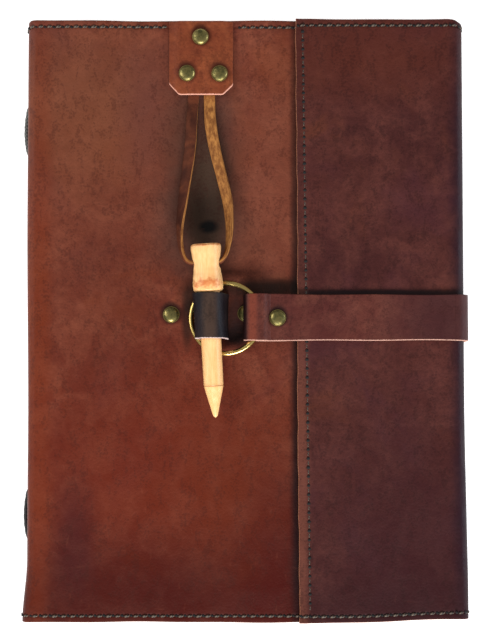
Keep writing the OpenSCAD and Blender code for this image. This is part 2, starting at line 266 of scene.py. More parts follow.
def straight(a, b, step=3.0, extra=(), edges=(0, 0)):
    """Points on a straight stretch in X and Z, from a to b, with extra ones at distances from a."""
    a, b = np.array(a, float), np.array(b, float)
    long = np.linalg.norm(b - a)
    t = stations(0, long, step, extra, edges)[:, None] / long
    return a + (b - a) * t


def joined(*parts):
    """Stretches of a line joined end to end, without their shared points."""
    out = [parts[0]] + [p[1:] if np.linalg.norm(p[0] - q[-1]) < 1e-6 else p for q, p in zip(parts, parts[1:])]
    return np.concatenate(out)


# --------------------------------------------------------------- materials


def node(tree, kind, inputs=None, **settings):
    """A new shader node, with its settings, and its inputs set to values or linked to sockets."""
    made = tree.nodes.new(kind)
    for key, value in settings.items():
        setattr(made, key, value)
    for key, value in (inputs or {}).items():
        if isinstance(value, bpy.types.NodeSocket):
            tree.links.new(value, made.inputs[key])
        else:
            made.inputs[key].default_value = value
    return made


def noise(tree, vector, scale, detail=4.0, rough=0.55, warp=0.0):
    """Fractal noise, a sum of finer and finer octaves, at a place times scale."""
    made = node(tree, "ShaderNodeTexNoise", {"Vector": vector, "Scale": scale, "Detail": detail,
                                             "Roughness": rough, "Distortion": warp})
    return made.outputs["Fac"]


def maths(tree, operation, a, b=0.5, clamp=False):
    """The result of one operation on two values or sockets."""
    return node(tree, "ShaderNodeMath", {0: a, 1: b}, operation=operation, use_clamp=clamp).outputs[0]


def spread(tree, value, low, high, to_low=0.0, to_high=1.0):
    """Maps low..high on to another range, smoothly and clamped."""
    made = node(tree, "ShaderNodeMapRange", {"Value": value, "From Min": low, "From Max": high,
                                             "To Min": to_low, "To Max": to_high},
                interpolation_type="SMOOTHSTEP")
    return made.outputs["Result"]


def mix(tree, mask, a, b, blend="MIX"):
    """Colour a where the mask is 0 and b where it is 1, in the named blend."""
    made = node(tree, "ShaderNodeMix", {0: mask}, data_type="RGBA", blend_type=blend)
    for index, value in ((6, a), (7, b)):
        if isinstance(value, bpy.types.NodeSocket):
            tree.links.new(value, made.inputs[index])
        else:
            made.inputs[index].default_value = (*value[:3], 1)
    return made.outputs[2]


def scaled(tree, vector, by, turn=(0, 0, 0), move=(0, 0, 0)):
    """A place scaled along each axis, then turned and moved."""
    return node(tree, "ShaderNodeMapping", {"Vector": vector, "Scale": by, "Rotation": turn,
                                            "Location": move}).outputs[0]


def new_group(name, sockets_in, sockets_out):
    """An empty shader node group with named inputs and outputs, and its input and output nodes."""
    group = bpy.data.node_groups.new(name, "ShaderNodeTree")
    for label, kind, value in sockets_in:
        made = group.interface.new_socket(label, in_out="INPUT", socket_type=kind)
        if value is not None:
            made.default_value = value
    for label, kind in sockets_out:
        group.interface.new_socket(label, in_out="OUTPUT", socket_type=kind)
    return group, group.nodes.new("NodeGroupInput").outputs, group.nodes.new("NodeGroupOutput").inputs


def use(tree, group, **inputs):
    """A node group's outputs, with its inputs set or linked by name."""
    made = node(tree, "ShaderNodeGroup", node_tree=group)
    for key, value in inputs.items():
        label = key.replace("_", " ")
        if isinstance(value, bpy.types.NodeSocket):
            tree.links.new(value, made.inputs[label])
        else:
            made.inputs[label].default_value = value
    return made.outputs


def grain_group():
    """Leather grain: pores, creases, scuffs and a slow mottle, from a place in metres."""
    group, given, out = new_group("Leather Grain", [
        ("Vector", "NodeSocketVector", None), ("Pore Size", "NodeSocketFloat", 1.0),
        ("Crease Depth", "NodeSocketFloat", 0.5),
    ], [("Height", "NodeSocketFloat"), ("Mottle", "NodeSocketFloat"), ("Cloud", "NodeSocketFloat"),
        ("Scuff", "NodeSocketFloat"), ("Fine", "NodeSocketFloat"), ("Speckle", "NodeSocketFloat")])
    place = given["Vector"]
    pore_scale = maths(group, "DIVIDE", 900.0, given["Pore Size"])
    cells = node(group, "ShaderNodeTexVoronoi", {"Vector": place, "Scale": pore_scale}, feature="SMOOTH_F1")
    pores = spread(group, cells.outputs["Distance"], 0.05, 0.75)
    fine = noise(group, place, 1500.0, 3, 0.6)
    creases = noise(group, scaled(group, place, (1, 0.45, 1)), 210.0, 6, 0.62, 0.6)
    crease = spread(group, creases, 0.3, 0.62)
    scratch = noise(group, scaled(group, place, (1, 0.3, 1), (0, 0, 1.2)), 300.0, 3, 0.6)
    scratch_two = noise(group, scaled(group, place, (0.3, 1, 1), (0, 0, 0.3)), 260.0, 3, 0.6)
    scuffs = maths(group, "ADD", spread(group, scratch, 0.62, 0.74),
                   spread(group, scratch_two, 0.64, 0.76), True)
    height = maths(group, "ADD", maths(group, "MULTIPLY", pores, 0.45), maths(group, "MULTIPLY", fine, 0.3))
    deep = maths(group, "MULTIPLY", crease, given["Crease Depth"])
    height = maths(group, "SUBTRACT", maths(group, "ADD", height, deep),
                   maths(group, "MULTIPLY", scuffs, 0.12))
    group.links.new(height, out["Height"])
    group.links.new(noise(group, place, 62.0, 7, 0.62, 0.5), out["Mottle"])
    group.links.new(noise(group, place, 13.0, 4, 0.55, 0.4), out["Cloud"])
    group.links.new(scuffs, out["Scuff"])
    group.links.new(fine, out["Fine"])
    group.links.new(noise(group, place, 330.0, 5, 0.7), out["Speckle"])
    return group


def spot_group():
    """A soft oval mask round a centre: 1 inside, 0 outside, with a ragged border."""
    group, given, out = new_group("Soft Spot", [
        ("Vector", "NodeSocketVector", None), ("Centre", "NodeSocketVector", (0, 0, 0)),
        ("Radius", "NodeSocketVector", (0.02, 0.02, 1)), ("Softness", "NodeSocketFloat", 0.6),
        ("Ragged", "NodeSocketFloat", 0.5),
    ], [("Mask", "NodeSocketFloat")])
    away = node(group, "ShaderNodeVectorMath", {0: given["Vector"], 1: given["Centre"]}, operation="SUBTRACT")
    ratio = node(group, "ShaderNodeVectorMath", {0: away.outputs[0], 1: given["Radius"]}, operation="DIVIDE")
    far = node(group, "ShaderNodeVectorMath", {0: ratio.outputs[0]}, operation="LENGTH").outputs["Value"]
    ragged = maths(group, "MULTIPLY", maths(group, "SUBTRACT", noise(group, given["Vector"], 70.0, 5), 0.5),
                   given["Ragged"])
    far = maths(group, "ADD", far, ragged)
    low = maths(group, "SUBTRACT", 1.0, given["Softness"])
    high = maths(group, "ADD", 1.0, given["Softness"])
    made = node(group, "ShaderNodeMapRange", {"Value": far, "From Min": low, "From Max": high,
                                              "To Min": 1.0, "To Max": 0.0}, interpolation_type="SMOOTHSTEP")
    group.links.new(made.outputs["Result"], out["Mask"])
    return group


GROUPS = {}


def shared(name):
    """The shared node group of that name, made at first use."""
    if name not in GROUPS:
        GROUPS[name] = {"grain": grain_group, "spot": spot_group}[name]()
    return GROUPS[name]


def begin(name):
    """A new material: its tree, its shader and the place on the piece, in metres."""
    material = bpy.data.materials.new(name)
    material.use_nodes = True
    tree = material.node_tree
    shader = tree.nodes["Principled BSDF"]
    place = node(tree, "ShaderNodeTexCoord").outputs["Object"]
    return material, tree, shader, place


def bump(tree, shader, height, strength, distance):
    """Feeds a height to the shader's normal."""
    made = node(tree, "ShaderNodeBump", {"Height": height, "Strength": strength, "Distance": distance})
    tree.links.new(made.outputs[0], shader.inputs["Normal"])


def leather(name, light, middle, deep, edge, spots=(), rough=(0.42, 0.62), pore=1.0, crease=0.5,
            depth=0.00022, warm=None, cool=None):
    """Waxed leather: three browns laid by cloud and mottle, a drift to warm and cool tones, scuffs, spots,
    and a raw cut edge from the rim mask.

    spots are (centre, radius, softness, colour, amount) in millimetres; some are tone, and some are
    painted shadows, painted shade and painted highlights. Where a piece's rim mask is weaker on one side,
    the raw edge is also a painted highlight on its lit side.
    """
    warm, cool = warm or light, cool or deep
    material, tree, shader, place = begin(name)
    grain = use(tree, shared("grain"), Vector=place, Pore_Size=pore, Crease_Depth=crease)
    colour = mix(tree, spread(tree, grain["Cloud"], 0.3, 0.7), deep, middle)
    colour = mix(tree, spread(tree, grain["Mottle"], 0.35, 0.75), colour, light)
    colour = mix(tree, maths(tree, "MULTIPLY", spread(tree, grain["Speckle"], 0.35, 0.72), 0.42), colour,
                 tuple(0.45 * c for c in deep))
    drift = noise(tree, scaled(tree, place, (1, 1, 1), move=(0.4, 0.2, 0)), 19.0, 5, 0.6, 0.6)
    colour = mix(tree, spread(tree, drift, 0.5, 0.72, 0, 0.5), colour, cool)
    colour = mix(tree, spread(tree, drift, 0.46, 0.28, 0, 0.5), colour, warm)
    # each spot lays tone, a painted shadow, painted shade or a painted highlight, as listed for each finish
    for centre, radius, soft, tint, amount in spots:
        mask = use(tree, shared("spot"), Vector=place, Centre=Vector(centre) * MM, Radius=Vector(radius) * MM,
                   Softness=soft)["Mask"]
        colour = mix(tree, maths(tree, "MULTIPLY", mask, amount), colour, tint)
    dark_pore = maths(tree, "MULTIPLY", spread(tree, grain["Height"], 0.75, 0.35), 0.35)
    colour = mix(tree, dark_pore, colour, tuple(0.35 * c for c in deep))
    colour = mix(tree, maths(tree, "MULTIPLY", grain["Scuff"], 0.07), colour, tuple(1.5 * c for c in light))
    rim = node(tree, "ShaderNodeAttribute", attribute_name="rim").outputs["Fac"]
    frayed = maths(tree, "ADD", rim,
                   maths(tree, "MULTIPLY", maths(tree, "SUBTRACT", grain["Fine"], 0.5), 0.9))
    raw = spread(tree, frayed, 0.45, 0.95)
    colour = mix(tree, maths(tree, "MULTIPLY", raw, 0.85), colour, edge)
    tree.links.new(colour, shader.inputs["Base Color"])
    low, high = rough
    uneven = maths(tree, "ADD", spread(tree, grain["Mottle"], 0.3, 0.75, low, high),
                   maths(tree, "MULTIPLY", raw, 0.2))
    tree.links.new(uneven, shader.inputs["Roughness"])
    shader.inputs["Specular IOR Level"].default_value = 0.13
    bump(tree, shader, grain["Height"], 0.55, depth)
    return material


def suede(name, light, dark):
    """The flesh side of leather: matt nap with fibres lying all ways."""
    material, tree, shader, place = begin(name)
    nap = noise(tree, place, 700.0, 5, 0.7)
    clouds = noise(tree, place, 28.0, 5, 0.6, 0.5)
    fibres = noise(tree, scaled(tree, place, (1, 0.15, 1), (0, 0, 0.5)), 900.0, 3, 0.6)
    mask = maths(tree, "ADD", maths(tree, "MULTIPLY", clouds, 0.65), maths(tree, "MULTIPLY", fibres, 0.35))
    colour = mix(tree, spread(tree, mask, 0.35, 0.65), dark, light)
    rim = node(tree, "ShaderNodeAttribute", attribute_name="rim").outputs["Fac"]
    colour = mix(tree, maths(tree, "MULTIPLY", rim, 0.4), colour, tuple(1.3 * c for c in light))
    tree.links.new(colour, shader.inputs["Base Color"])
    shader.inputs["Roughness"].default_value = 0.92
    shader.inputs["Specular IOR Level"].default_value = 0.2
    bump(tree, shader, maths(tree, "ADD", nap, maths(tree, "MULTIPLY", fibres, 0.6)), 0.5, 0.00025)
    return material


def thread_material(name, light, dark, rough=0.55):
    """Waxed twisted thread: plies that wind round it, from its own UV."""
    material, tree, shader, place = begin(name)
    uv = node(tree, "ShaderNodeUVMap", uv_map="UVMap").outputs[0]
    plies = node(tree, "ShaderNodeTexWave", {"Vector": scaled(tree, uv, (1, 0.32, 1)), "Scale": 1.0,
                                             "Distortion": 0.4, "Detail": 1.0},
                 wave_type="BANDS", bands_direction="DIAGONAL").outputs["Fac"]
    dirt = noise(tree, place, 900.0, 3)
    mask = maths(tree, "ADD", maths(tree, "MULTIPLY", plies, 0.6), maths(tree, "MULTIPLY", dirt, 0.4))
    tree.links.new(mix(tree, spread(tree, mask, 0.3, 0.8), dark, light), shader.inputs["Base Color"])
    shader.inputs["Roughness"].default_value = rough
    bump(tree, shader, plies, 0.6, 0.00012)
    return material


def brass(name, bright, patina, amount, rough=(0.22, 0.5)):
    """Brass with patina in its hollows and small dings; rim is where it is rubbed bright."""
    material, tree, shader, place = begin(name)
    blotch = noise(tree, place, 420.0, 6, 0.65, 0.3)
    fine = noise(tree, place, 2200.0, 3, 0.6)
    rim = node(tree, "ShaderNodeAttribute", attribute_name="rim").outputs["Fac"]
    rub = maths(tree, "MULTIPLY", rim, 0.5)
    mask = spread(tree, maths(tree, "SUBTRACT", maths(tree, "ADD", blotch, rub), amount), -0.12, 0.14)
    tree.links.new(mix(tree, mask, patina, bright), shader.inputs["Base Color"])
    shader.inputs["Metallic"].default_value = 1.0
    tree.links.new(spread(tree, mask, 0.0, 1.0, rough[1], rough[0]), shader.inputs["Roughness"])
    bump(tree, shader, maths(tree, "ADD", blotch, maths(tree, "MULTIPLY", fine, 0.3)), 0.12, 0.0001)
    return material


def wood(name):
    """Pale turned wood: long fine grain down the peg, scorched patches from the rim mask and the scored
    line."""
    material, tree, shader, place = begin(name)
    streaks = noise(tree, scaled(tree, place, (1, 0.06, 1)), 420.0, 5, 0.6, 0.15)
    fibres = noise(tree, scaled(tree, place, (1, 0.04, 1)), 1900.0, 3, 0.6)
    mask = maths(tree, "ADD", maths(tree, "MULTIPLY", streaks, 0.6), maths(tree, "MULTIPLY", fibres, 0.4))
    colour = mix(tree, spread(tree, mask, 0.38, 0.66), srgb(234, 174, 110), srgb(242, 194, 134))
    scorch = node(tree, "ShaderNodeAttribute", attribute_name="rim").outputs["Fac"]
    ragged = maths(tree, "ADD", scorch, maths(tree, "MULTIPLY", maths(tree, "SUBTRACT",
                   noise(tree, place, 330.0, 5, 0.65), 0.5), 1.9))
    burnt = maths(tree, "MULTIPLY", spread(tree, ragged, 0.35, 0.95), 0.8)
    colour = mix(tree, burnt, colour, srgb(190, 92, 34))
    cut = node(tree, "ShaderNodeAttribute", attribute_name="cut").outputs["Fac"]
    colour = mix(tree, maths(tree, "MULTIPLY", cut, 0.7), colour, srgb(150, 92, 44))
    tree.links.new(colour, shader.inputs["Base Color"])
    shader.inputs["Roughness"].default_value = 0.42
    shader.inputs["Specular IOR Level"].default_value = 0.4
    bump(tree, shader, mask, 0.18, 0.00015)
    return material


def paper(name):
    """The cut edges of a paper block: fine leaf lines by height, and a soft tooth."""
    material, tree, shader, place = begin(name)
    leaves = node(tree, "ShaderNodeTexNoise", {"Vector": scaled(tree, place, (0, 0, 1)), "Scale": 9000.0,
                                               "Detail": 2.0}).outputs["Fac"]
    tooth = noise(tree, place, 1200.0, 4, 0.6)
    mask = maths(tree, "ADD", maths(tree, "MULTIPLY", leaves, 0.7), maths(tree, "MULTIPLY", tooth, 0.3))
    colour = mix(tree, spread(tree, mask, 0.3, 0.7), srgb(196, 182, 154), srgb(238, 230, 208))
    tree.links.new(colour, shader.inputs["Base Color"])
    shader.inputs["Roughness"].default_value = 0.9
    bump(tree, shader, mask, 0.3, 0.0001)
    return material


def thong_material(name):
    """A leather lace: brown grain on one flat, golden flesh on the other and on its edges, by its side
    attribute."""
    material, tree, shader, place = begin(name)
    grain = use(tree, shared("grain"), Vector=place, Pore_Size=0.8, Crease_Depth=0.4)
    side = node(tree, "ShaderNodeAttribute", attribute_name="side").outputs["Fac"]
    ragged = maths(tree, "ADD", side,
                   maths(tree, "MULTIPLY", maths(tree, "SUBTRACT", grain["Mottle"], 0.5), 0.5))
    brown = mix(tree, spread(tree, grain["Mottle"], 0.35, 0.68), srgb(58, 26, 16), srgb(98, 50, 30))
    uv = node(tree, "ShaderNodeUVMap", uv_map="UVMap").outputs[0]
    fibres = noise(tree, scaled(tree, uv, (9.0, 0.9, 1.0)), 2.2, 5, 0.65)
    flesh = mix(tree, spread(tree, fibres, 0.38, 0.66), srgb(116, 70, 34), srgb(172, 116, 60))
    tree.links.new(mix(tree, spread(tree, ragged, 0.25, 0.6), flesh, brown), shader.inputs["Base Color"])
    shader.inputs["Roughness"].default_value = 0.65
    shader.inputs["Specular IOR Level"].default_value = 0.12
    bump(tree, shader, maths(tree, "ADD", grain["Height"], fibres), 0.5, 0.0002)
    return material


MATERIALS = {}


def material(name):
    """The finish of that name, made at first use."""
    if name not in MATERIALS:
        MATERIALS[name] = make_material(name, bpy.context.scene.cover_look)
    return MATERIALS[name]


def make_material(name, look):
    """One finish: its colours, its spots of tone and of painted shadow, shade and highlight, and its raw-edge
    tone, by name.
    """
    light, middle, deep = (tuple(c) for c in (look.cover_light, look.cover_middle, look.cover_deep))
    dull, raw = srgb(66, 44, 36), srgb(150, 110, 86)
    if name == "cover leather":
        return leather(name, light, middle, deep, raw, spots=[
            ((-60, -85, 27), (62, 72, 90), 0.8, srgb(90, 26, 8), 0.75),
            ((0, -90, 27), (36, 60, 90), 0.8, srgb(92, 34, 14), 0.6),
            ((-60, -158, 27), (120, 36, 90), 0.7, srgb(54, 6, 4), 0.8),
            ((24, -140, 27), (26, 60, 90), 0.8, srgb(60, 6, 4), 0.75),
            ((-92, -118, 27), (10, 26, 90), 0.9, srgb(48, 10, 16), 0.6),
            ((-78, 60, 27), (36, 80, 90), 0.8, srgb(88, 40, 26), 0.5),
            ((-84, 118, 27), (44, 40, 90), 0.9, srgb(116, 68, 44), 0.5),
            ((-52, 112, 27), (14, 30, 90), 0.9, srgb(84, 46, 42), 0.5),
            ((-22, 90, 27), (19, 56, 90), 0.7, dull, 0.85),
            ((-24, 50, 27), (24, 24, 90), 0.7, dull, 0.75),
            ((-20, 64, 27), (11, 34, 90), 0.5, srgb(58, 46, 34), 0.6),
            # painted shadow: the near-black oval just above the peg's head is the head's cast shadow on the
            # cover
            ((-19.5, 51, 27), (5, 3.4, 90), 0.45, srgb(5, 7, 8), 0.95),
            ((16, 70, 27), (18, 80, 90), 0.7, srgb(106, 58, 42), 0.5),
            ((-112, -20, 20), (6, 170, 90), 0.8, srgb(104, 38, 14), 0.55),
            # painted shadow: two dark strips along the flap's free edge are the flap's cast shadow on the
            # cover, stronger towards the tail
            ((28.4, -70, 27), (3.2, 130, 90), 0.7, srgb(12, 5, 8), 0.85),
            ((27.4, 90, 27), (2.4, 90, 90), 0.7, srgb(20, 10, 10), 0.6),
            # painted shadow: a dark band just above the strap is the strap's cast shadow on the cover
            ((9, 17, 27), (26, 4.6, 90), 0.6, srgb(22, 18, 14), 0.85),
            # painted shade: the near-black and dark brown ovals inside the ring, right of the keeper, are
            # shade cast by the keeper, the ring and the strap
            ((-4.5, -7.5, 27), (8.5, 7.5, 90), 0.6, srgb(8, 6, 8), 0.92),
            ((-5, 4, 27), (5.5, 11, 90), 0.6, srgb(44, 26, 24), 0.8),
            # painted shadow: a dark strip hugging the ring's left side is the ring's cast shadow; the patch
            # at the keeper's upper left corner is painted shade
            ((-31, 0, 27), (3.2, 14, 90), 0.5, srgb(20, 15, 11), 0.75),
            ((-28, 13, 27), (7, 8, 90), 0.6, srgb(26, 20, 14), 0.7),
            # painted shadow: a dark disc round the keeper's left rivet, set a little towards the head, is its
            # cast shadow
            ((-40, 3.7, 27), (5.8, 5.8, 90), 0.25, srgb(26, 14, 10), 0.75),
        ], warm=srgb(112, 50, 22), cool=srgb(78, 36, 36))
    if name == "flap leather":
        return leather(name, srgb(86, 43, 36), srgb(73, 35, 30), srgb(60, 27, 26), srgb(170, 112, 84), spots=[
            ((60, 150, 30), (60, 26, 90), 0.8, srgb(80, 34, 22), 0.6),
            ((95, -130, 30), (50, 70, 90), 0.8, srgb(46, 16, 20), 0.75),
            ((119, 0, 24), (6, 190, 90), 0.8, srgb(18, 10, 24), 0.8),
            ((70, -160, 30), (70, 18, 90), 0.7, srgb(40, 12, 16), 0.6),
            # painted shadow: a thin dark line just above the strap is its cast shadow on the flap
            ((72, 14.4, 30), (62, 1.8, 90), 0.6, srgb(18, 12, 14), 0.85),
            ((30.5, -90, 30), (3.6, 110, 90), 0.7, srgb(104, 58, 44), 0.6),
            ((30, 100, 30), (2, 80, 90), 0.8, srgb(56, 26, 24), 0.4),
        ], warm=srgb(90, 44, 26), cool=srgb(64, 30, 36))
    if name == "strap leather":
        return leather(name, srgb(104, 56, 44), srgb(90, 44, 36), srgb(74, 33, 30), srgb(206, 160, 142),
                       spots=[
            ((112, 0, 31), (30, 40, 90), 0.8, srgb(56, 28, 30), 0.8),
            # painted shade: a near-black strip at the fold's end round the ring; painted highlight: a lighter
            # strip along the fold's lit ridge just right of it
            ((-0.8, 0, 35), (2.0, 40, 90), 0.5, srgb(22, 10, 14), 0.95),
            ((4.2, 0, 35), (2.2, 40, 90), 0.6, srgb(118, 56, 40), 0.7),
            # painted shadow: a dark disc round the strap's rivet is its cast shadow
            ((17.8, 1.6, 33), (5.7, 5.7, 90), 0.25, srgb(24, 12, 12), 0.75),
        ], pore=0.9)
    if name == "tab leather":
        return leather(name, srgb(136, 70, 40), srgb(122, 60, 35), srgb(108, 48, 30), srgb(228, 168, 146),
                       spots=[
            # painted shadow: a dark disc round each tab rivet, set a little towards the head, is its cast
            # shadow
            ((x, y + 0.8, 30), (5.7, 5.7, 90), 0.25, srgb(56, 22, 12), 0.7)
            for x, y in ((-24.2, 154.8), (-31.5, 134.7), (-13.7, 134.5))], pore=0.9)
    # the keeper's three browns are near black: painted shade on its steep sides; the lighter spot along the
    # top of its arch over the shaft is a painted highlight
    if name == "keeper leather":
        return leather(name, srgb(40, 30, 30), srgb(28, 22, 26), srgb(15, 14, 20), srgb(214, 190, 184),
                       spots=[
            ((-18.6, 1, 46), (3.8, 40, 3.5), 0.5, srgb(64, 47, 38), 0.9)], pore=0.8)
    return {
        "lining": lambda: suede(name, srgb(150, 104, 70), srgb(118, 76, 48)),
        "seam thread": lambda: thread_material(name, srgb(92, 76, 60), srgb(32, 26, 20)),
        # awl holes: near-black marks that stand for the holes, painted shade of their recesses
        "awl hole": lambda: thread_material(name, srgb(14, 12, 10), srgb(4, 4, 4), 0.9),
        "grey lace": lambda: thread_material(name, srgb(110, 112, 108), srgb(52, 54, 54)),
        "black lace": lambda: thread_material(name, srgb(40, 40, 42), srgb(12, 12, 13)),
        "antique brass": lambda: brass(name, srgb(150, 136, 84), srgb(92, 88, 54), 0.5, (0.34, 0.52)),
        "ring brass": lambda: brass(name, srgb(208, 180, 108), srgb(112, 96, 54), 0.42, (0.24, 0.42)),
        "peg wood": lambda: wood(name),
        "paper": lambda: paper(name),
        "thong leather": lambda: thong_material(name),
    }[name]()


# ------------------------------------------------------------------ pieces


def place_piece(obj, body=None, blend=None, nodes=()):
    """Ties a finished piece to its body, or, where blend is given, bakes its place into its points and
    leaves it unparented (only whether blend is given counts); hides the nodes that it stands for."""
    if blend:
        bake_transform(obj)
    else:
        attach(obj, body)
    if nodes:
        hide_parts(*nodes)
    return obj


def shell_line(part):
    """The line of the leather's outside in X and Z for one of its four parts, seen from the tail.

    It runs along the front from its fore edge, down the spine, along the back,
    up the fore edge and back along the flap, with a quarter circle at each fold.
    """
    low, high, flap = FOLD_R, FRONT_Z - FOLD_R, FLAP_Z - FOLD_R
    spine_mid, edge_mid = FRONT_Z / 2, FLAP_Z / 2
    left, right = LEFT + FOLD_R, RIGHT - FOLD_R
    cut = right - 24
    if part == "front":
        return joined(straight((FRONT_HIGH[0], FRONT_Z), (left, FRONT_Z), edges=(1, 0)),
                      arc((left, high), FOLD_R, 90, 180), straight((LEFT, high), (LEFT, spine_mid)))
    if part == "back":
        return joined(straight((LEFT, spine_mid), (LEFT, low)), arc((left, low), FOLD_R, 180, 270),
                      straight((left, 0), (cut, 0)))
    if part == "fore":
        return joined(straight((cut, 0), (right, 0)), arc((right, low), FOLD_R, -90, 0),
                      straight((RIGHT, low), (RIGHT, edge_mid)))
    seam = right - FLAP_LOW[0] - FLAP_SEAM_IN
    return joined(straight((RIGHT, edge_mid), (RIGHT, flap)), arc((right, flap), FOLD_R, 0, 90),
                  straight((right, FLAP_Z), (FLAP_LOW[0], FLAP_Z), extra=seam_rows(seam), edges=(0, 1)))


def shell_grid(part, deep):
    """The grid of points deep millimetres inside the leather's outside, and each one's distance from a cut
    edge.

    A point is the line's point moved against its normal, at one of the heights
    between tail and head. The head edge rises over the flap, the cut edges
    wander a little, and the flap's free edge leans.
    """
    line = shell_line(part)
    normal = -line_normals(line)
    tail, head = -HALF_H, HALF_H
    rows = stations(tail, head, 3.0, seam_rows(tail + SEAM_IN) + seam_rows(head - SEAM_IN), (1, 1))
    x, z = (line - normal * deep).T
    x, y = np.meshgrid(x, rows, indexing="ij")
    z = np.repeat(z[:, None], len(rows), 1)
    along = np.concatenate([[0], np.cumsum(np.linalg.norm(np.diff(line, axis=0), axis=1))])[:, None]
    to_tail, to_head = y - tail, head - y
    wander = 0.35 * np.sin(along / 17 + 1.3) + 0.25 * np.sin(along / 7.3) + 0.2 * np.sin(along / 41)
    shift = 0.5 * wander * (np.exp(-to_head / 12) - np.exp(-to_tail / 12))
    away = np.minimum(to_tail, to_head)
    if part == "front":
        away = np.minimum(away, along)
        raised = 1.5 + 0.5 * smoothstep(0, -110, x)
        shift = shift + raised * smoothstep(-14, 0, y - head) * smoothstep(18, 27, z + deep)
    if part == "flap":
        over = smoothstep(24, 32, z + deep)
        shift = shift + over * (FLAP_HIGH[1] - head) * smoothstep(0, 60, y - head + 60)
        shift = shift - 1.6 * np.exp(-((x - RIGHT + 1) / 3.5) ** 2) * np.exp(-to_head / 10)
        lean = np.clip((RIGHT - FOLD_R - x) / (RIGHT - FOLD_R - FLAP_LOW[0]), 0, 1)
        rough = 0.16 * np.sin(y / 5.1) + 0.12 * np.sin(y / 2.3 + 1) + 0.25 * np.sin(y / 31)
        x = x - over * lean * FLAP_SKEW * y / head + over * rough * smoothstep(0.8, 1, lean)
        away = np.minimum(away, along[-1] - along)
        sunk = groove(along[-1] - along - FLAP_SEAM_IN + SEAM_SKEW * y / head, 0.35) * (deep < 0.1)
    else:
        sunk = 0
    if deep < 0.1:
        seam = groove(to_tail - SEAM_IN, 0.3) + groove(to_head - SEAM_IN, 0.3) + sunk
        x = x - normal[:, :1] * seam
        z = z - normal[:, 1:] * seam
    return settle(np.stack([x, y + shift, z], -1)), away


def shell_piece(part, layer):
    """One part of the leather or of the lining, as a closed sheet between two depths."""
    top, bottom = (0, LEATHER_T) if layer == "leather" else (LEATHER_T + 0.02, LEATHER_T + LINING_T)
    outer, away = shell_grid(part, top)
    inner, _ = shell_grid(part, bottom)
    skin = {"front": "cover leather", "back": "cover leather", "fore": "flap leather",
            "flap": "flap leather"}[part]
    return slab_between(f"{part}_{layer}", inner[::-1], outer[::-1], away[::-1],
                        material(skin if layer == "leather" else "lining"),
                        round_to=0.55 if layer == "leather" else 0.3)


def fold_ends(name):
    """Where leather starts and stops turning at a fold: the two ends of its quarter circle."""
    left, right = LEFT + FOLD_R, RIGHT - FOLD_R
    return {
        "front": ((left + 1, 0, FRONT_Z), (LEFT, 0, FRONT_Z - FOLD_R - 1)),
        "fore": ((right - 1, 0, 0), (RIGHT, 0, FOLD_R + 1)),
        "flap": ((RIGHT, 0, FLAP_Z - FOLD_R - 1), (right - 1, 0, FLAP_Z)),
    }[name]


def blend_across(name, a, b):
    start, end = fold_ends(name)
    return (a, b, tuple(MM * v for v in start), tuple(MM * v for v in end))


SHELL_NODES = {
    "front": ("front_cover", "front_lining", ("front_cover", "back_cover")),
    "back": ("back_cover", "back_lining", None),
    "fore": ("fore_edge", "fore_edge_lining", ("back_cover", "fore_edge")),
    "flap": ("flap", "flap_lining", ("fore_edge", "flap")),
}


def make_shell():
    """The leather and the lining: four parts of two layers; the back part is tied to its body, the others are
    left in place, unparented.
    """
    for part, (outside, inside, bodies) in SHELL_NODES.items():
        for layer, cad in (("leather", outside), ("lining", inside)):
            piece = shell_piece(part, layer)
            nodes = [cad]
            if part == "back":
                nodes.append("spine" if layer == "leather" else "spine_lining")
            if bodies:
                place_piece(piece, blend=blend_across(part, *bodies), nodes=nodes)
            else:
                place_piece(piece, "back_cover", nodes=nodes)


def stitch_mesh(name, centres, along, up, long, thick, rise, colour, slant=0.0, turns=6, around=8):
    """A row of raised stitches, one closed spindle each.

    A stitch's line is its centre plus u along it, lifted by rise times 1 - u^2,
    with its ends sunk in the leather; its radius falls as the root of 1 - u^4.
    """
    centres, along, up = (np.asarray(a, float) for a in (centres, along, up))
    along, up = np.broadcast_to(along, centres.shape), np.broadcast_to(up, centres.shape)
    side = np.cross(up, along)
    along = along * np.cos(slant) + side * np.sin(slant)
    side = np.cross(up, along)
    rng = np.random.default_rng(SEED)
    size = rng.uniform(0.9, 1.06, (len(centres), 1, 1, 1))
    u = np.sin(np.linspace(-1, 1, turns + 1) * np.pi / 2)[None, :, None, None]
    v = np.linspace(0, 2 * np.pi, around, endpoint=False)[None, None, :, None]
    radius = thick / 2 * np.sqrt(np.maximum(1 - u**4, 0.02)) * size
    spread_out = [a[:, None, None, :] for a in (centres, along, up, side)]
    c, a, n, s = spread_out
    points = c + a * (long / 2 * u * size) + n * (rise * (1 - u**2) - 0.25 * u**4)
    points = points + (s * np.cos(v) * 1.1 + n * np.sin(v) * 0.85) * radius
    rings, count = turns + 1, len(centres)
    faces, one = [], grid_faces(rings, around, wrap=True)
    per = rings * around
    start = (np.arange(count) * per)[:, None, None]
    faces = (one[None] + start).reshape(-1, 4).tolist()
    caps = np.stack([np.arange(around)[::-1], per - around + np.arange(around)])
    faces += (caps[None] + start).reshape(-1, around).tolist()
    uv = np.stack(np.broadcast_arrays(v[..., 0] / (2 * np.pi) * np.ones((count, rings, 1)),
                                      (u[..., 0] + 1) / 2 * long * np.ones((count, 1, around))), -1)
    return new_object(name, points.reshape(-1, 3), faces, colour, uv=uv.reshape(-1, 2), sharp=80)


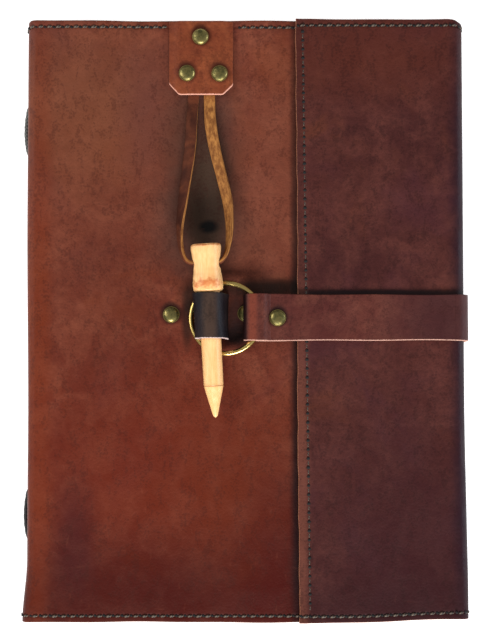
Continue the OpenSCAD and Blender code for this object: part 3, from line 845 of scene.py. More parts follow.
def seam_points(part, side, pitch):
    """The places of a seam's stitches along one part of the shell, with their directions and the way out."""
    line = shell_line(part)
    along = np.concatenate([[0], np.cumsum(np.linalg.norm(np.diff(line, axis=0), axis=1))])
    normal = -line_normals(line)
    at = np.arange(pitch * 0.6, along[-1] - pitch * 0.3, pitch)
    x, z = (np.interp(at, along, line[:, k]) for k in range(2))
    nx, nz = (np.interp(at, along, normal[:, k]) for k in range(2))
    y = np.full(len(at), side * (HALF_H - SEAM_IN))
    if part == "flap" and side > 0:
        y = y + smoothstep(24, 32, z) * (FLAP_HIGH[1] - HALF_H) * 0.95
    if part == "front" and side > 0:
        y = y + (1.5 + 0.5 * smoothstep(0, -110, x)) * smoothstep(18, 27, z) * 0.85
    points = settle(np.stack([x, y, z], -1))
    if part == "flap":
        lean = np.clip((RIGHT - FOLD_R - x) / (RIGHT - FOLD_R - FLAP_LOW[0]), 0, 1)
        points[:, 0] -= smoothstep(24, 32, z) * lean * FLAP_SKEW * y / HALF_H
    up = np.stack([nx, 0 * nx, nz], -1)
    direction = np.gradient(points, axis=0)
    return points, direction / np.linalg.norm(direction, axis=1, keepdims=True), up


def make_stitching(look):
    """Thread along every seam: slanted stitches at tail and head, and sunk ones with awl slits down the
    flap. The awl holes and slits are near-black marks: painted shade of the holes."""
    tab_low, tab_high = box_mm("top_tab")
    owners = {"front": ("front_stitching", ("front_cover", "back_cover")),
              "back": ("back_stitching", None),
              "fore": ("fore_edge_stitching", ("back_cover", "fore_edge")),
              "flap": ("flap_stitching", ("fore_edge", "flap"))}
    for part, (cad, bodies) in owners.items():
        rows = [seam_points(part, side, look.stitch_pitch) for side in (-1, 1)]
        if part == "front":
            top = rows[1][0]
            keep = (top[:, 0] < tab_low[0] - 1.5) | (top[:, 0] > tab_high[0] + 1.5)
            rows[1] = tuple(a[keep] for a in rows[1])
        centres, along, up = (np.concatenate([r[k] for r in rows]) for k in range(3))
        piece = stitch_mesh(f"{part}_seam_thread", centres, along, up, look.stitch_pitch * 0.7,
                            look.thread_thickness, 0.2, material("seam thread"), slant=0.15)
        side = np.cross(up, along)
        inward = np.sign(-centres[:, 1:2] * side[:, 1:2]) * side
        # near-black awl-hole marks between the stitches: painted shade of the holes
        middle = centres + along * look.stitch_pitch / 2 + inward * 0.2 - up * 0.2
        holes = stitch_mesh(f"{part}_awl_holes", middle, along, up, 1.9, 1.3, 0.1, material("awl hole"),
                            slant=-0.6, turns=4)
        if bodies:
            place_piece(holes, blend=blend_across(part, *bodies))
        else:
            place_piece(holes, "back_cover")
        nodes = [cad] + (["spine_stitching"] if part == "back" else [])
        if bodies:
            place_piece(piece, blend=blend_across(part, *bodies), nodes=nodes)
        else:
            place_piece(piece, "back_cover", nodes=nodes)
    pitch = look.stitch_pitch
    y = np.arange(-HALF_H + 8, FLAP_HIGH[1] - 7, pitch)
    x = FLAP_LOW[0] + FLAP_SEAM_IN - (FLAP_SKEW + SEAM_SKEW) * y / HALF_H
    sunk = settle(np.stack([x, y, np.full(len(y), FLAP_Z - 0.38)], -1))
    thread = stitch_mesh("flap_edge_thread", sunk, (0, 1, 0), (0, 0, 1), pitch * 0.55, 0.62, 0.1,
                         material("seam thread"))
    place_piece(thread, "flap")
    # near-black awl slits between the sunk stitches: painted shade of the slits
    slits = settle(np.stack([x, y + pitch / 2, np.full(len(y), FLAP_Z - 0.27)], -1))
    holes = stitch_mesh("flap_awl_slits", slits, (1, 0.25, 0), (0, 0, 1), 1.9, 1.35, 0.12,
                        material("awl hole"))
    place_piece(holes, "flap")


def plate(name, outline, z, thick, colour, bow=None, step=1.6):
    """A flat leather plate: an outline's scaled copies from its middle to its edge, closed between two
    heights.

    The rows are the outline shrunk by distance steps towards its middle line, so
    that the edge can be rounded; bow(x, y) lifts it.
    """
    outline = np.asarray(outline, float)
    middle = outline.mean(0)
    reach = np.linalg.norm(outline - middle, axis=1).min()
    near = np.array([0, 0.06, 0.16, 0.32, 0.55, 1.0])
    depth = np.concatenate([near, np.arange(2.2, reach - 0.5, step)])
    share = np.clip(1 - depth[:, None] / np.linalg.norm(outline - middle, axis=1)[None, :], 0.02, 1)
    ring = middle + (outline - middle)[None] * share[..., None]
    closed = np.concatenate([ring, ring[:, :1]], 1)
    away = np.repeat(depth[:, None], closed.shape[1], 1)
    lift = bow(closed[..., 0], closed[..., 1]) if bow else np.zeros(away.shape)
    draw = edge_round(away, 0.5)
    rows, columns = ring.shape[:2]
    up = np.concatenate([ring, (z + thick + lift - draw)[:, :-1, None]], -1)
    down = np.concatenate([ring, (z + lift + draw)[:, :-1, None]], -1)
    points = np.concatenate([settle(up).reshape(-1, 3), settle(down).reshape(-1, 3)])
    count = rows * columns
    faces = grid_faces(rows, columns, wrap=True).tolist()
    faces += grid_faces(rows, columns, count, flip=True, wrap=True).tolist()
    j = np.arange(columns)
    k = (j + 1) % columns
    faces += np.stack([j, j + count, k + count, k], 1).tolist()
    inner = (rows - 1) * columns
    faces += [(inner + j).tolist(), (inner + count + j[::-1]).tolist()]
    # the raw edge's rim mask is full on the tail side and faint elsewhere: the cut edge's own light colour,
    # kept to the side the key light falls on as a painted highlight
    lit_tail_side = 0.15 + 0.85 * smoothstep(9, 5, ring[..., 1] - outline[:, 1].min())
    rim = np.tile((1 - np.clip(away[:, :-1] / 1.1, 0, 1)) * lit_tail_side, (2, 1, 1))
    return new_object(name, points, faces, colour, rim)


def rounded_outline(corners, radius, step=1.2):
    """An outline through corners, each cut by an arc of a radius, with points about step apart."""
    corners = np.asarray(corners, float)
    out = []
    for k in range(len(corners)):
        before, at, after = corners[k - 1], corners[k], corners[(k + 1) % len(corners)]
        a = (before - at) / np.linalg.norm(before - at)
        b = (after - at) / np.linalg.norm(after - at)
        t = np.linspace(0, 1, 6)[:, None]
        p, q = at + a * radius, at + b * radius
        out.append((1 - t) ** 2 * p + 2 * t * (1 - t) * at + t**2 * q)
        nxt = corners[(k + 1) % len(corners)] - b * radius
        long = np.linalg.norm(nxt - q)
        s = np.linspace(0, 1, max(2, int(long / step)))[1:-1, None]
        out.append(q + (nxt - q) * s)
    return np.concatenate(out)


def tab_bow(x, y):
    """The tab's height off its seat: it hangs down at its edges and swells over the thong's two ends."""
    low, high = box_mm("top_tab")
    u = np.abs(x - (low[0] + high[0]) / 2) / ((high[0] - low[0]) / 2)
    swell_up = sum(0.45 * np.exp(-(((x - c) / 3.4) ** 2)) * smoothstep(146, 130, y) for c in (-27.4, -19.3))
    return swell_up - 1.25 * smoothstep(0.62, 1.0, u) - 1.0 * smoothstep(138, 160, y)


def make_tab():
    """The tab at the head: a plate with its two lower corners cut, bowed over the cover."""
    low, high = box_mm("top_tab")
    cut = 5.5
    corners = [(low[0], high[1]), (low[0], low[1] + cut + 0.6), (low[0] + cut, low[1]),
               (high[0] - cut, low[1]), (high[0], low[1] + cut), (high[0], high[1])]
    tab = plate("tab", rounded_outline(corners, 1.0), low[2], high[2] - low[2], material("tab leather"),
                tab_bow)
    place_piece(tab, "front_cover", nodes=["top_tab"])


def lathe(profile, around=48):
    """The points and faces of a shape turned round +Z from (radius, height) pairs, which start and end on
    the axis."""
    profile = np.asarray(profile, float)
    ring = profile[1:-1]
    v = np.linspace(0, 2 * np.pi, around, endpoint=False)
    body = np.stack([ring[:, :1] * np.cos(v), ring[:, :1] * np.sin(v),
                     np.repeat(ring[:, 1:], around, 1)], -1).reshape(-1, 3)
    ends = np.array([[0, 0, profile[0][1]], [0, 0, profile[-1][1]]])
    faces = grid_faces(len(ring), around, wrap=True).tolist()
    count, j = len(body), np.arange(around)
    faces += np.stack([np.full(around, count), (j + 1) % around, j], 1).tolist()
    last = (len(ring) - 1) * around
    faces += np.stack([np.full(around, count + 1), last + j, last + (j + 1) % around], 1).tolist()
    return np.concatenate([body, ends]), faces


# Rivets: the cap's width and height, and the width of the plate under most caps and under the strap's
CAP_WIDTH, CAP_HEIGHT = 9.0, 2.0
PLATE_WIDTH, SMALL_PLATE = 8.0, 3.2


def cap_profile(across, high, plate_z, plate_across):
    """A cap rivet: a plate, a post and a domed cap with a rolled lip, a shallow waist and a soft crown."""
    r = across / 2
    crown = np.radians(np.linspace(0, 90, 12))
    dome = [(r * 0.93 * np.cos(a) ** 0.9, 0.42 + (high - 0.42) * np.sin(a) ** 1.1) for a in crown[:-1]]
    lip = [(r * 0.94, 0.0), (r * 0.99, 0.1), (r, 0.25), (r * 0.985, 0.38)]
    p = plate_across / 2
    return ([(0, plate_z), (p * 0.9, plate_z), (p, plate_z + 0.12), (p, plate_z + 0.5),
             (p * 0.9, plate_z + 0.65),
             (1.5, plate_z + 0.7), (1.5, -0.02)] + lip + dome + [(0, high)])


def make_rivets():
    """Every cap rivet: where the solids' caps are, set a little into the leather, each turned its own way."""
    groups = {"tab_rivets": ("front_cover", 3), "keeper_rivets": ("front_cover", 2),
              "strap_rivet": ("strap", 1), "tail_rivets": ("back_cover", 2)}
    for cad, (body, count) in groups.items():
        places = cap_places(cad)
        plate_across = SMALL_PLATE if cad == "strap_rivet" else PLATE_WIDTH
        points, faces, rim, start = [], [], [], 0
        for k, (x, y, base, low) in enumerate(places):
            p, f = lathe(cap_profile(CAP_WIDTH, CAP_HEIGHT, low - base, plate_across))
            lift = swell(x, y) if base > 20 else 0
            radius = np.hypot(p[:, 0], p[:, 1])
            dent = 0.07 * np.sin(3 * np.arctan2(p[:, 1], p[:, 0]) + k) * (radius / 4.5) * (p[:, 2] > 0.5)
            points.append(p + np.array([x, y, base + lift]) + np.stack([0 * dent, 0 * dent, dent], 1))
            faces += [[start + i for i in face] for face in f]
            rim.append(np.clip(1 - np.abs(radius - 4.4) / 0.5, 0, 1) * (p[:, 2] > 0))
            start += len(p)
        piece = new_object(cad.replace("_rivet", "_cap_rivet"),
                           np.concatenate(points), faces, material("antique brass"), np.concatenate(rim))
        place_piece(piece, body, nodes=[cad])


def cap_places(cad):
    """Each rivet's axis, the height of its cap's seat and of its plate, from the node's own separate
    solids."""
    mesh = frame_mesh(cad)
    groups = []
    for loose in mesh:
        low, high = loose.min(0), loose.max(0)
        middle = (low + high) / 2
        groups.append((middle[0], middle[1], high[2] - CAP_HEIGHT, low[2]))
    return groups


def frame_mesh(cad):
    """The points of each separate solid of a node, in millimetres."""
    points = frame_points(cad)
    keys = np.zeros(len(points), int)
    for axis in range(2):
        order = np.argsort(points[:, axis])
        steps = np.diff(points[order, axis]) > 0.8
        label = np.concatenate([[0], np.cumsum(steps)])
        back = np.empty(len(points), int)
        back[order] = label
        keys = keys * 16 + back
    return [points[keys == k] for k in np.unique(keys)]


# ------------------------------------------------------------- the closure


def peg_axes():
    """The peg's frame: its shoulder, the way to its tip, its right and its up, in millimetres."""
    head = np.array(JOINTS["peg_slide"]["axis"])
    tip = -head / np.linalg.norm(head)
    right = np.cross(tip, (0, 0, 1))
    right = -right / np.linalg.norm(right)
    return tip, right, np.cross(tip, right)


def peg_shoulder():
    """The middle of the peg's shoulder, found from the ends of its solid."""
    tip, _, _ = peg_axes()
    points = frame_points("toggle_peg")
    along = points @ tip
    head = points[along < along.min() + 0.2].mean(0)
    return head + tip * PEG_HEAD


def frame_points(cad):
    """All the points of a node's solids, in millimetres."""
    obj = next(o for o in bpy.data.objects if o.get("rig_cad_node") == cad)
    return np.array([v.co for v in obj.data.vertices]) / MM


# The peg's head, its shaft, and its hole: the distance from the shoulder and the radius
PEG_HEAD = 25.8
PEG_SHAFT = 67.6
PEG_HOLE_U = -15.4
PEG_HOLE_R = 3.3


def peg_radius(u):
    """The peg's radius at a distance u from its shoulder: the head's waist and bulge, the collar, the shaft
    and the tip."""
    knots = np.array([
        (-25.8, 6.9), (-25.5, 7.6), (-24.9, 8.05), (-23.8, 8.2), (-22.2, 8.1), (-19, 7.75), (-15.4, 7.4),
        (-12.6, 7.3), (-10, 7.45), (-7.6, 7.85), (-5.4, 8.1), (-3, 8.1), (-1.3, 8.0), (-0.5, 7.6), (0, 6.9),
        (0.12, 6.1), (1.5, 6.1), (8, 5.75), (16, 5.55), (30, 5.4), (44, 5.32), (50.1, 5.28), (50.4, 5.12),
        (50.7, 5.24), (52, 4.95), (58, 3.45), (63.4, 2.1), (65.8, 1.5), (66.8, 1.15),
        (67.4, 0.7), (67.6, 0.25)])
    return np.interp(u, knots[:, 0], knots[:, 1])


def make_peg():
    """The peg: a turned profile with carver's flats that fade down the shaft, and a hole bored through its
    head."""
    tip, right, up = peg_axes()
    shoulder = peg_shoulder()
    u = np.unique(np.concatenate([np.linspace(-25.8, -24.2, 8), np.linspace(-24.2, -0.5, 36),
                                  np.linspace(-0.5, 2, 14),
                                  np.linspace(2, 50, 34), np.linspace(50, 51, 9), np.linspace(51, 67.6, 28)]))
    around = 72
    v = np.linspace(0, 2 * np.pi, around, endpoint=False)
    flats = 0.10 * np.cos(7 * v + 0.6)[None] * smoothstep(2, -6, u)[:, None]
    ripple = 0.05 * np.sin(u * 1.3)[:, None] * np.cos(2 * v + 1)[None]
    radius = peg_radius(u)[:, None] * (1 + 0.004 * np.sin(3 * v + 0.09 * u[:, None])) + flats + ripple
    ring = (shoulder + tip * u[:, None, None] + right * (radius * np.cos(v))[..., None]
            + up * (radius * np.sin(v))[..., None])
    ends = np.stack([shoulder + tip * (-PEG_HEAD - 0.05), shoulder + tip * (PEG_SHAFT + 0.08)])
    points = np.concatenate([ring.reshape(-1, 3), ends])
    faces = grid_faces(len(u), around, wrap=True).tolist()
    count, j = len(u) * around, np.arange(around)
    faces += np.stack([np.full(around, count), (j + 1) % around, j], 1).tolist()
    last = count - around
    faces += np.stack([np.full(around, count + 1), last + j, last + (j + 1) % around], 1).tolist()
    peg = new_object("peg", points, faces, material("peg wood"))
    bore(peg, shoulder + tip * PEG_HOLE_U, right, PEG_HOLE_R)
    peg_masks(peg, shoulder)
    place_piece(peg, "peg", nodes=["toggle_peg"])


def peg_masks(peg, shoulder):
    """Where the wood is scorched (rim) and scored (cut): bell curves along the peg, strongest on its upper
    side."""
    tip, right, up = peg_axes()
    points = np.array([v.co for v in peg.data.vertices]) / MM - shoulder
    u, over, aside = points @ tip, points @ up, points @ right
    away = np.maximum(np.hypot(over, aside), 1e-6)
    scorch = np.exp(-(((u + 4.6) / 3.4) ** 2)) * (0.3 + 0.62 * np.clip(over / away, 0, 1))
    scorch += 0.75 * np.exp(-(((u + 25.2) / 0.9) ** 2))
    scorch += 0.35 * np.exp(-(((u + 15) / 7) ** 2)) * np.clip(aside / away, 0, 1) ** 3
    scorch += 0.3 * np.exp(-(((u - 60) / 6) ** 2)) * np.clip(aside / away, 0, 1)
    cut = np.exp(-(((u - 50.4) / 0.35) ** 2))
    for name, mask in (("rim", scorch), ("cut", cut)):
        made = peg.data.attributes.new(name, "FLOAT", "POINT")
        made.data.foreach_set("value", mask.astype(np.float32))


def bore(obj, middle, axis, radius):
    """Cuts a round hole along an axis through a piece."""
    points, faces = lathe([(0, -20), (radius, -20), (radius, 20), (0, 20)], 40)
    axis = axis / np.linalg.norm(axis)
    side = np.cross(axis, (0, 0, 1))
    side /= np.linalg.norm(side)
    turned = points[:, :1] * side + points[:, 1:2] * np.cross(axis, side) + points[:, 2:] * axis
    tool = new_object("bore_tool", turned + middle, faces, obj.data.materials[0])
    cutter = obj.modifiers.new("Bore", "BOOLEAN")
    cutter.operation, cutter.solver, cutter.object = "DIFFERENCE", "EXACT", tool
    graph = bpy.context.evaluated_depsgraph_get()
    mesh = bpy.data.meshes.new_from_object(obj.evaluated_get(graph))
    obj.modifiers.clear()
    obj.data = mesh
    mesh.set_sharp_from_angle(angle=np.radians(40))
    bpy.data.objects.remove(tool)


# The thong's route from the left end under the tab, through the peg's hole
# and back: place, turn of its flat in degrees, and thickness, in millimetres
THONG_ROUTE = np.array([
    [-26.8, 139, 27.6, 0, 1.2], [-27.2, 131, 27.6, 0, 1.2],
    [-27.9, 124, 27.6, 0, 1.2], [-28.4, 117, 28.2, -4, 1.8],
    [-29, 107, 29.5, -8, 2.2], [-29.6, 96, 30.1, -14, 2.2],
    [-30.8, 85, 30.9, -22, 2.2], [-32.3, 74, 32, -32, 2.2],
    [-33.8, 63, 33.5, -44, 2.2], [-34.9, 53, 35.2, -58, 2.2],
    [-35, 45, 37.1, -70, 2.2], [-34, 38, 38.7, -80, 2.2],
    [-32.2, 33, 39.7, -86, 2.2], [-29.6, 30.9, 40, -90, 2.2],
    [-26, 30.6, 40, -90, 2.2], [-21.2, 30.6, 40, -90, 2.2],
    [-16.4, 30.8, 40, -90, 2.2], [-12.8, 31.6, 40, -92, 2.2],
    [-10.4, 34.6, 39.6, -98, 2.2], [-8.9, 40, 38.5, -106, 2.2],
    [-8.2, 47, 36.9, -116, 2.2], [-8.3, 55, 35, -128, 2.2],
    [-9.4, 65, 33.3, -142, 2.2], [-12, 76, 31.8, -154, 2.2],
    [-14.8, 87, 30.7, -164, 2.2], [-17, 97, 30, -170, 2.2],
    [-18.6, 107, 29.3, -175, 2.2], [-19.2, 117, 28.2, -178, 1.8],
    [-19.3, 124, 27.6, -180, 1.2], [-19.3, 131, 27.6, -180, 1.2],
    [-19.3, 139, 27.6, -180, 1.2]])


def smooth_route(route, between=6):
    """A Catmull-Rom curve through the rows of a route, every column with it."""
    padded = np.concatenate([2 * route[:1] - route[1:2], route, 2 * route[-1:] - route[-2:-1]])
    p0, p1, p2, p3 = (padded[k:len(padded) - 3 + k][:, None] for k in range(4))
    t = np.linspace(0, 1, between, endpoint=False)[None, :, None]
    out = 0.5 * (2 * p1 + (p2 - p0) * t + (2 * p0 - 5 * p1 + 4 * p2 - p3) * t**2
                 + (3 * p1 - p0 - 3 * p2 + p3) * t**3)
    return np.concatenate([out.reshape(-1, route.shape[1]), route[-1:]])


def make_thong(look):
    """The thong: a flat lace with rounded edges along its route, turning onto its edge to pass through the
    peg."""
    route = THONG_ROUTE.copy()
    moved = peg_shoulder() - (-19.62, 15.3, 39.11)
    route[:, :3] += moved * np.clip((124 - route[:, 1:2]) / 84, 0, 1)
    route = smooth_route(route)
    line, turn, thick = route[:, :3], np.radians(route[:, 3]), route[:, 4]
    along = np.gradient(line, axis=0)
    along /= np.linalg.norm(along, axis=1, keepdims=True)
    a = np.cross(along, (0, 0, 1))
    a /= np.linalg.norm(a, axis=1, keepdims=True)
    b = np.cross(a, along)
    q = np.linspace(0, 2 * np.pi, 24, endpoint=False)
    flat = np.sign(np.cos(q)) * np.abs(np.cos(q)) ** 0.35
    rise = np.sign(np.sin(q)) * np.abs(np.sin(q)) ** 0.5
    hole = np.exp(-(((line[:, 0] + 21.2) / 7.5) ** 4)) * (line[:, 1] < 34)
    rng = np.random.default_rng(SEED)
    uneven = np.convolve(rng.normal(0, 0.12, len(line) + 8), np.ones(9) / 3, "valid")
    wide = look.thong_width * (1 - 0.13 * hole) + uneven
    w, t = (wide / 2)[:, None] * flat, (thick / 2)[:, None] * rise
    c, s = np.cos(turn)[:, None], np.sin(turn)[:, None]
    points = (line[:, None] + a[:, None] * (w * c - t * s)[..., None]
              + b[:, None] * (w * s + t * c)[..., None])
    rings, around = points.shape[:2]
    faces = grid_faces(rings, around, wrap=True).tolist()
    faces += [list(range(around))[::-1], [(rings - 1) * around + k for k in range(around)]]
    long = np.concatenate([[0], np.cumsum(np.linalg.norm(np.diff(line, axis=0), axis=1))])
    uv = np.stack(np.broadcast_arrays((q / (2 * np.pi))[None], long[:, None] / 10 * np.ones(around)), -1)
    thong = new_object("thong_lace", points.reshape(-1, 3), faces, material("thong leather"),
                       uv=uv.reshape(-1, 2), sharp=70)
    side = thong.data.attributes.new("side", "FLOAT", "POINT")
    grain_side = np.repeat(np.clip(np.sin(q) * 1.6, 0, 1)[None], rings, 0)
    side.data.foreach_set("value", grain_side.astype(np.float32).ravel())
    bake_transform(thong)
    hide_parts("thong")


def keeper_line():
    """The keeper's middle line across the peg, as (right, up) from the peg's axis: up the left side close
    to the
    ring, round over the shaft and down a long slope to the right slit."""
    r = 7.5
    over = np.radians(np.linspace(205, 12, 34))
    round_part = np.stack([r * np.cos(over), r * np.sin(over)], 1)
    left = np.array([[-2.9, -13.2], [-3.0, -11.2], [-3.6, -9.3], [-5.0, -7.4], [-6.2, -5.4]])
    right = np.array([[7.7, -1.0], [8.2, -4.0], [8.6, -7.0], [8.9, -9.6], [9.0, -11.4], [9.0, -13.2]])
    return smooth_route(np.concatenate([left, round_part[1:], right]), 3)


def make_keeper():
    """The keeper loop: a band that rises from the left slit, hugs the peg and slopes down to the right
    slit."""
    tip, _, _ = peg_axes()
    shoulder = peg_shoulder()
    low, high = box_mm("keeper_loop")
    width = 24.5
    middle_y = (high[1] + low[1]) / 2
    u0 = (middle_y - shoulder[1]) / tip[1]
    line = keeper_line()
    side = line_normals(line)
    across = stations(-width / 2, width / 2, 1.6, (), (1, 1))
    flare = 1 + 0.05 * (2 * across / width) ** 4
    def lay(offset):
        p = line + side * offset
        x = p[:, :1] * flare[None]
        z = p[:, 1:] * np.ones(len(across))
        # the feet stand upright in straight slits, so the lean fades out below the axis
        lean = smoothstep(-10, 0, p[:, 1:])
        y = middle_y + across[None] * np.ones((len(line), 1))
        t = (y - shoulder[1]) / tip[1]
        centre_x = shoulder[0] + tip[0] * (t * lean + u0 * (1 - lean))
        centre_z = shoulder[2] + tip[2] * t
        return np.stack([centre_x + x, y, centre_z + z], -1)
    outer, inner = lay(0.9), lay(-0.9)
    depth = np.minimum(across + width / 2, width / 2 - across)[None] * np.ones((len(line), 1))
    # the raw edge's light colour is full on the tail side, a painted highlight on the edge the key light
    # falls on, and faint on the head side, left dark as painted shade
    keeper = slab_between("keeper_band", inner, outer, depth, material("keeper leather"), 0.5, raw=2.2,
                          share=np.where(across < 0, 1, 0.1)[None])
    place_piece(keeper, "front_cover", nodes=["keeper_loop"])


def make_ring():
    """The ring: a torus of drawn wire on the solid's own centre and tilt, with a faint weld and wear on
    top."""
    joint = JOINTS["ring_turn"]
    centre, axis = np.array(joint["pos_m"]) / MM, np.array(joint["axis"])
    axis /= np.linalg.norm(axis)
    right = np.array([axis[2], 0, -axis[0]])
    ahead = np.cross(axis, right)
    low, high = box_mm("ring")
    wire = 1.4
    radius = (high[1] - low[1]) / 2 - wire
    u = np.linspace(0, 2 * np.pi, 128, endpoint=False)[:, None]
    v = np.linspace(0, 2 * np.pi, 20, endpoint=False)[None]
    w = wire * (1 + 0.015 * np.sin(5 * u) + 0.03 * np.exp(-(((u - 0.2) / 0.03) ** 2)))
    out = radius + w * np.cos(v)
    points = (centre + right * (out * np.cos(u))[..., None] + ahead * (out * np.sin(u))[..., None]
              + axis * (w * np.sin(v) * np.ones(u.shape))[..., None])
    faces = grid_faces(129, 20, wrap=True, flip=True) % (128 * 20)
    rim = np.clip(np.sin(v), 0, 1) ** 2 * np.ones(u.shape)
    ring = new_object("ring_wire", points.reshape(-1, 3), faces, material("ring brass"), rim)
    place_piece(ring, "ring", nodes=["ring"])


def strap_band(name, line, ends, blend=None, body=None, nodes=()):
    """A stretch of strap: its line in X and Z, carried across its width, closed between its two faces."""
    side = line_normals(line)
    across = stations(-STRAP_W / 2, STRAP_W / 2, 2.2, (), (1, 1))
    wander = 0.18 * np.sin(line[:, 0] / 9) + 0.12 * np.sin(line[:, 0] / 23 + 1)
    long = np.concatenate([[0], np.cumsum(np.linalg.norm(np.diff(line, axis=0), axis=1))])
    def lay(offset):
        p = line + side * offset
        y = STRAP_Y + across[None] + wander[:, None] * np.sign(across)[None] * (np.abs(across) > 11)
        points = np.stack([np.repeat(p[:, :1], len(across), 1), y, np.repeat(p[:, 1:], len(across), 1)], -1)
        return settle(points)
    away = np.minimum(across + STRAP_W / 2, STRAP_W / 2 - across)[None] * np.ones((len(line), 1))
    if ends[0]:
        away = np.minimum(away, long[:, None])
    if ends[1]:
        away = np.minimum(away, (long[-1] - long)[:, None])
    half = STRAP_T / 2
    # the raw edge's light colour is full on the tail side, a painted highlight on the edge the key light
    # falls on, and faint on the head side, left dark as painted shade
    band = slab_between(name, lay(half), lay(-half), away, material("strap leather"), 0.45, raw=2.6,
                        share=np.where(across < 0, 1, 0.2)[None])
    return place_piece(band, body, blend, nodes)


def make_strap():
    """The strap in three stretches: the lifting end with its fold round the ring, the turn over the fore
    edge,
    and the tail through its slit to the inside."""
    half = STRAP_T / 2
    low = STRAP_LOW[2] + half
    top = STRAP_HIGH[2] - half
    eye = (top - low) / 2
    seat = FLAP_Z + 0.2 + half
    rivet_x = cap_places("strap_rivet")[0][0]
    closed = low + STRAP_T + 0.12
    turn_x = STRAP_LOW[0] + half + eye
    hinge_x = joint_mm("strap_lift")[0]
    cut_x = hinge_x + 2
    end = straight((rivet_x + 4.2, low), (turn_x + 4, low), 1.2, (), (1, 0))
    curl = arc((turn_x, low + eye), eye, 270, 90, 22)
    slope = smooth_route(np.array([[turn_x, top], [turn_x + 4.2, top], [turn_x + 6.4, top - 0.35],
                                   [turn_x + 8.0, (top + closed) / 2 + 0.35], [turn_x + 9.8, closed + 0.25],
                                   [turn_x + 12, closed], [rivet_x + 4.6, closed - 0.02],
                                   [rivet_x + 7.4, (closed + seat) / 2],
                                   [rivet_x + 10.6, seat], [rivet_x + 14, seat]]), 5)
    flat = straight((rivet_x + 14, seat), (cut_x, seat), 2.5)
    line = joined(end, straight((turn_x + 4, low), (turn_x, low), 1.2), curl, slope, flat)
    strap_band("strap_end", line, (1, 0), nodes=["strap"],
               blend=("strap", "flap", ((hinge_x - 5) * MM, 0, seat * MM),
                      ((hinge_x + 1) * MM, 0, seat * MM)))
    wall = RIGHT + 0.2 + half
    reach = FOLD_R + 0.2 + half
    turn = (RIGHT - FOLD_R, FLAP_Z - FOLD_R)
    mid = FLAP_Z / 2
    over = joined(straight((cut_x, seat), (turn[0], seat), 1.0), arc(turn, reach, 90, 0, 14),
                  straight((wall, turn[1]), (wall, mid)))
    strap_band("strap_turn", over, (0, 0), nodes=["strap_bend"],
               blend=("flap", "fore_edge", (turn[0] * MM, 0, seat * MM), (wall * MM, 0, turn[1] * MM)))
    tail_low, tail_high = box_mm("strap_tail")
    tail = (tail_low[2] + tail_high[2]) / 2
    dive = smooth_route(np.array([[wall, mid], [wall, mid - 4], [wall, FOLD_R + 3.4],
                                  [wall - 0.4, FOLD_R + 1.2],
                                  [wall - 2.2, tail + 0.35], [wall - 5, tail], [RIGHT - 9, tail]]), 6)
    inside = joined(dive, straight((RIGHT - 9, tail), (tail_low[0], tail), 2, (), (0, 1)))
    strap_band("strap_tail_end", inside, (0, 1), nodes=["strap_tail"],
               blend=("fore_edge", "back_cover", (RIGHT * MM, 0, (FOLD_R + 3) * MM),
                      ((RIGHT - 5) * MM, 0, (tail - 2) * MM)))


def make_laces():
    """The two spine laces: a long outer run between two holes, with its ends turned in, and its inner run."""
    for cad, slot, colour in (("upper_spine_lace", "grey_lace", "grey lace"),
                              ("lower_spine_lace", "black_lace", "black lace")):
        low, high = box_mm(cad)
        middle_z, radius = (low[2] + high[2]) / 2, 1.3
        x0, x1 = low[0] + radius * 0.95, high[0] - radius * 0.8
        y0, y1 = low[1] + radius, high[1] - radius
        route = np.array([[x1, (y0 + y1) / 2 - 1.5, middle_z], [x1, y0 + 5, middle_z],
                          [x1, y0 + 1.6, middle_z],
                          [x1 - 1.2, y0, middle_z], [x0 + 1.6, y0, middle_z], [x0 + 0.35, y0 + 0.7, middle_z],
                          [x0, y0 + 2.2, middle_z + 0.1], [x0, (y0 + y1) / 2 - 5, middle_z + 0.25],
                          [x0, (y0 + y1) / 2 + 5, middle_z - 0.2], [x0, y1 - 2.2, middle_z],
                          [x0 + 0.35, y1 - 0.7, middle_z], [x0 + 1.6, y1, middle_z], [x1 - 1.2, y1, middle_z],
                          [x1, y1 - 1.6, middle_z], [x1, y1 - 5, middle_z],
                          [x1, (y0 + y1) / 2 + 1.5, middle_z]])
        line = smooth_route(route, 7)
        bow = np.clip(1 - ((line[:, 1] - (y0 + y1) / 2) / ((y1 - y0) / 2)) ** 2, 0, 1)
        line[:, 0] -= 1.8 * bow * (line[:, 0] < x0 + 1)
        line = settle(line)
        along = np.gradient(line, axis=0)
        along /= np.linalg.norm(along, axis=1, keepdims=True)
        a = np.broadcast_to(np.array([0.0, 0, 1]), along.shape)
        b = np.cross(along, a)
        q = np.linspace(0, 2 * np.pi, 20, endpoint=False)
        long = np.concatenate([[0], np.cumsum(np.linalg.norm(np.diff(line, axis=0), axis=1))])
        ply = radius * (0.93 + 0.07 * np.cos(3 * q[None] - long[:, None] * 1.5))
        points = (line[:, None] + a[:, None] * (ply * np.cos(q))[..., None]
                  + b[:, None] * (ply * np.sin(q))[..., None])
        faces = grid_faces(len(line), 20, wrap=True).tolist()
        faces += [list(range(20))[::-1], [(len(line) - 1) * 20 + k for k in range(20)]]
        uv = np.stack(np.broadcast_arrays((q / (2 * np.pi))[None], long[:, None] * np.ones(20)), -1)
        lace = new_object(cad.replace("_spine", ""), points.reshape(-1, 3), faces, material(colour),
                          uv=uv.reshape(-1, 2), sharp=80)
        place_piece(lace, "back_cover", nodes=[cad])


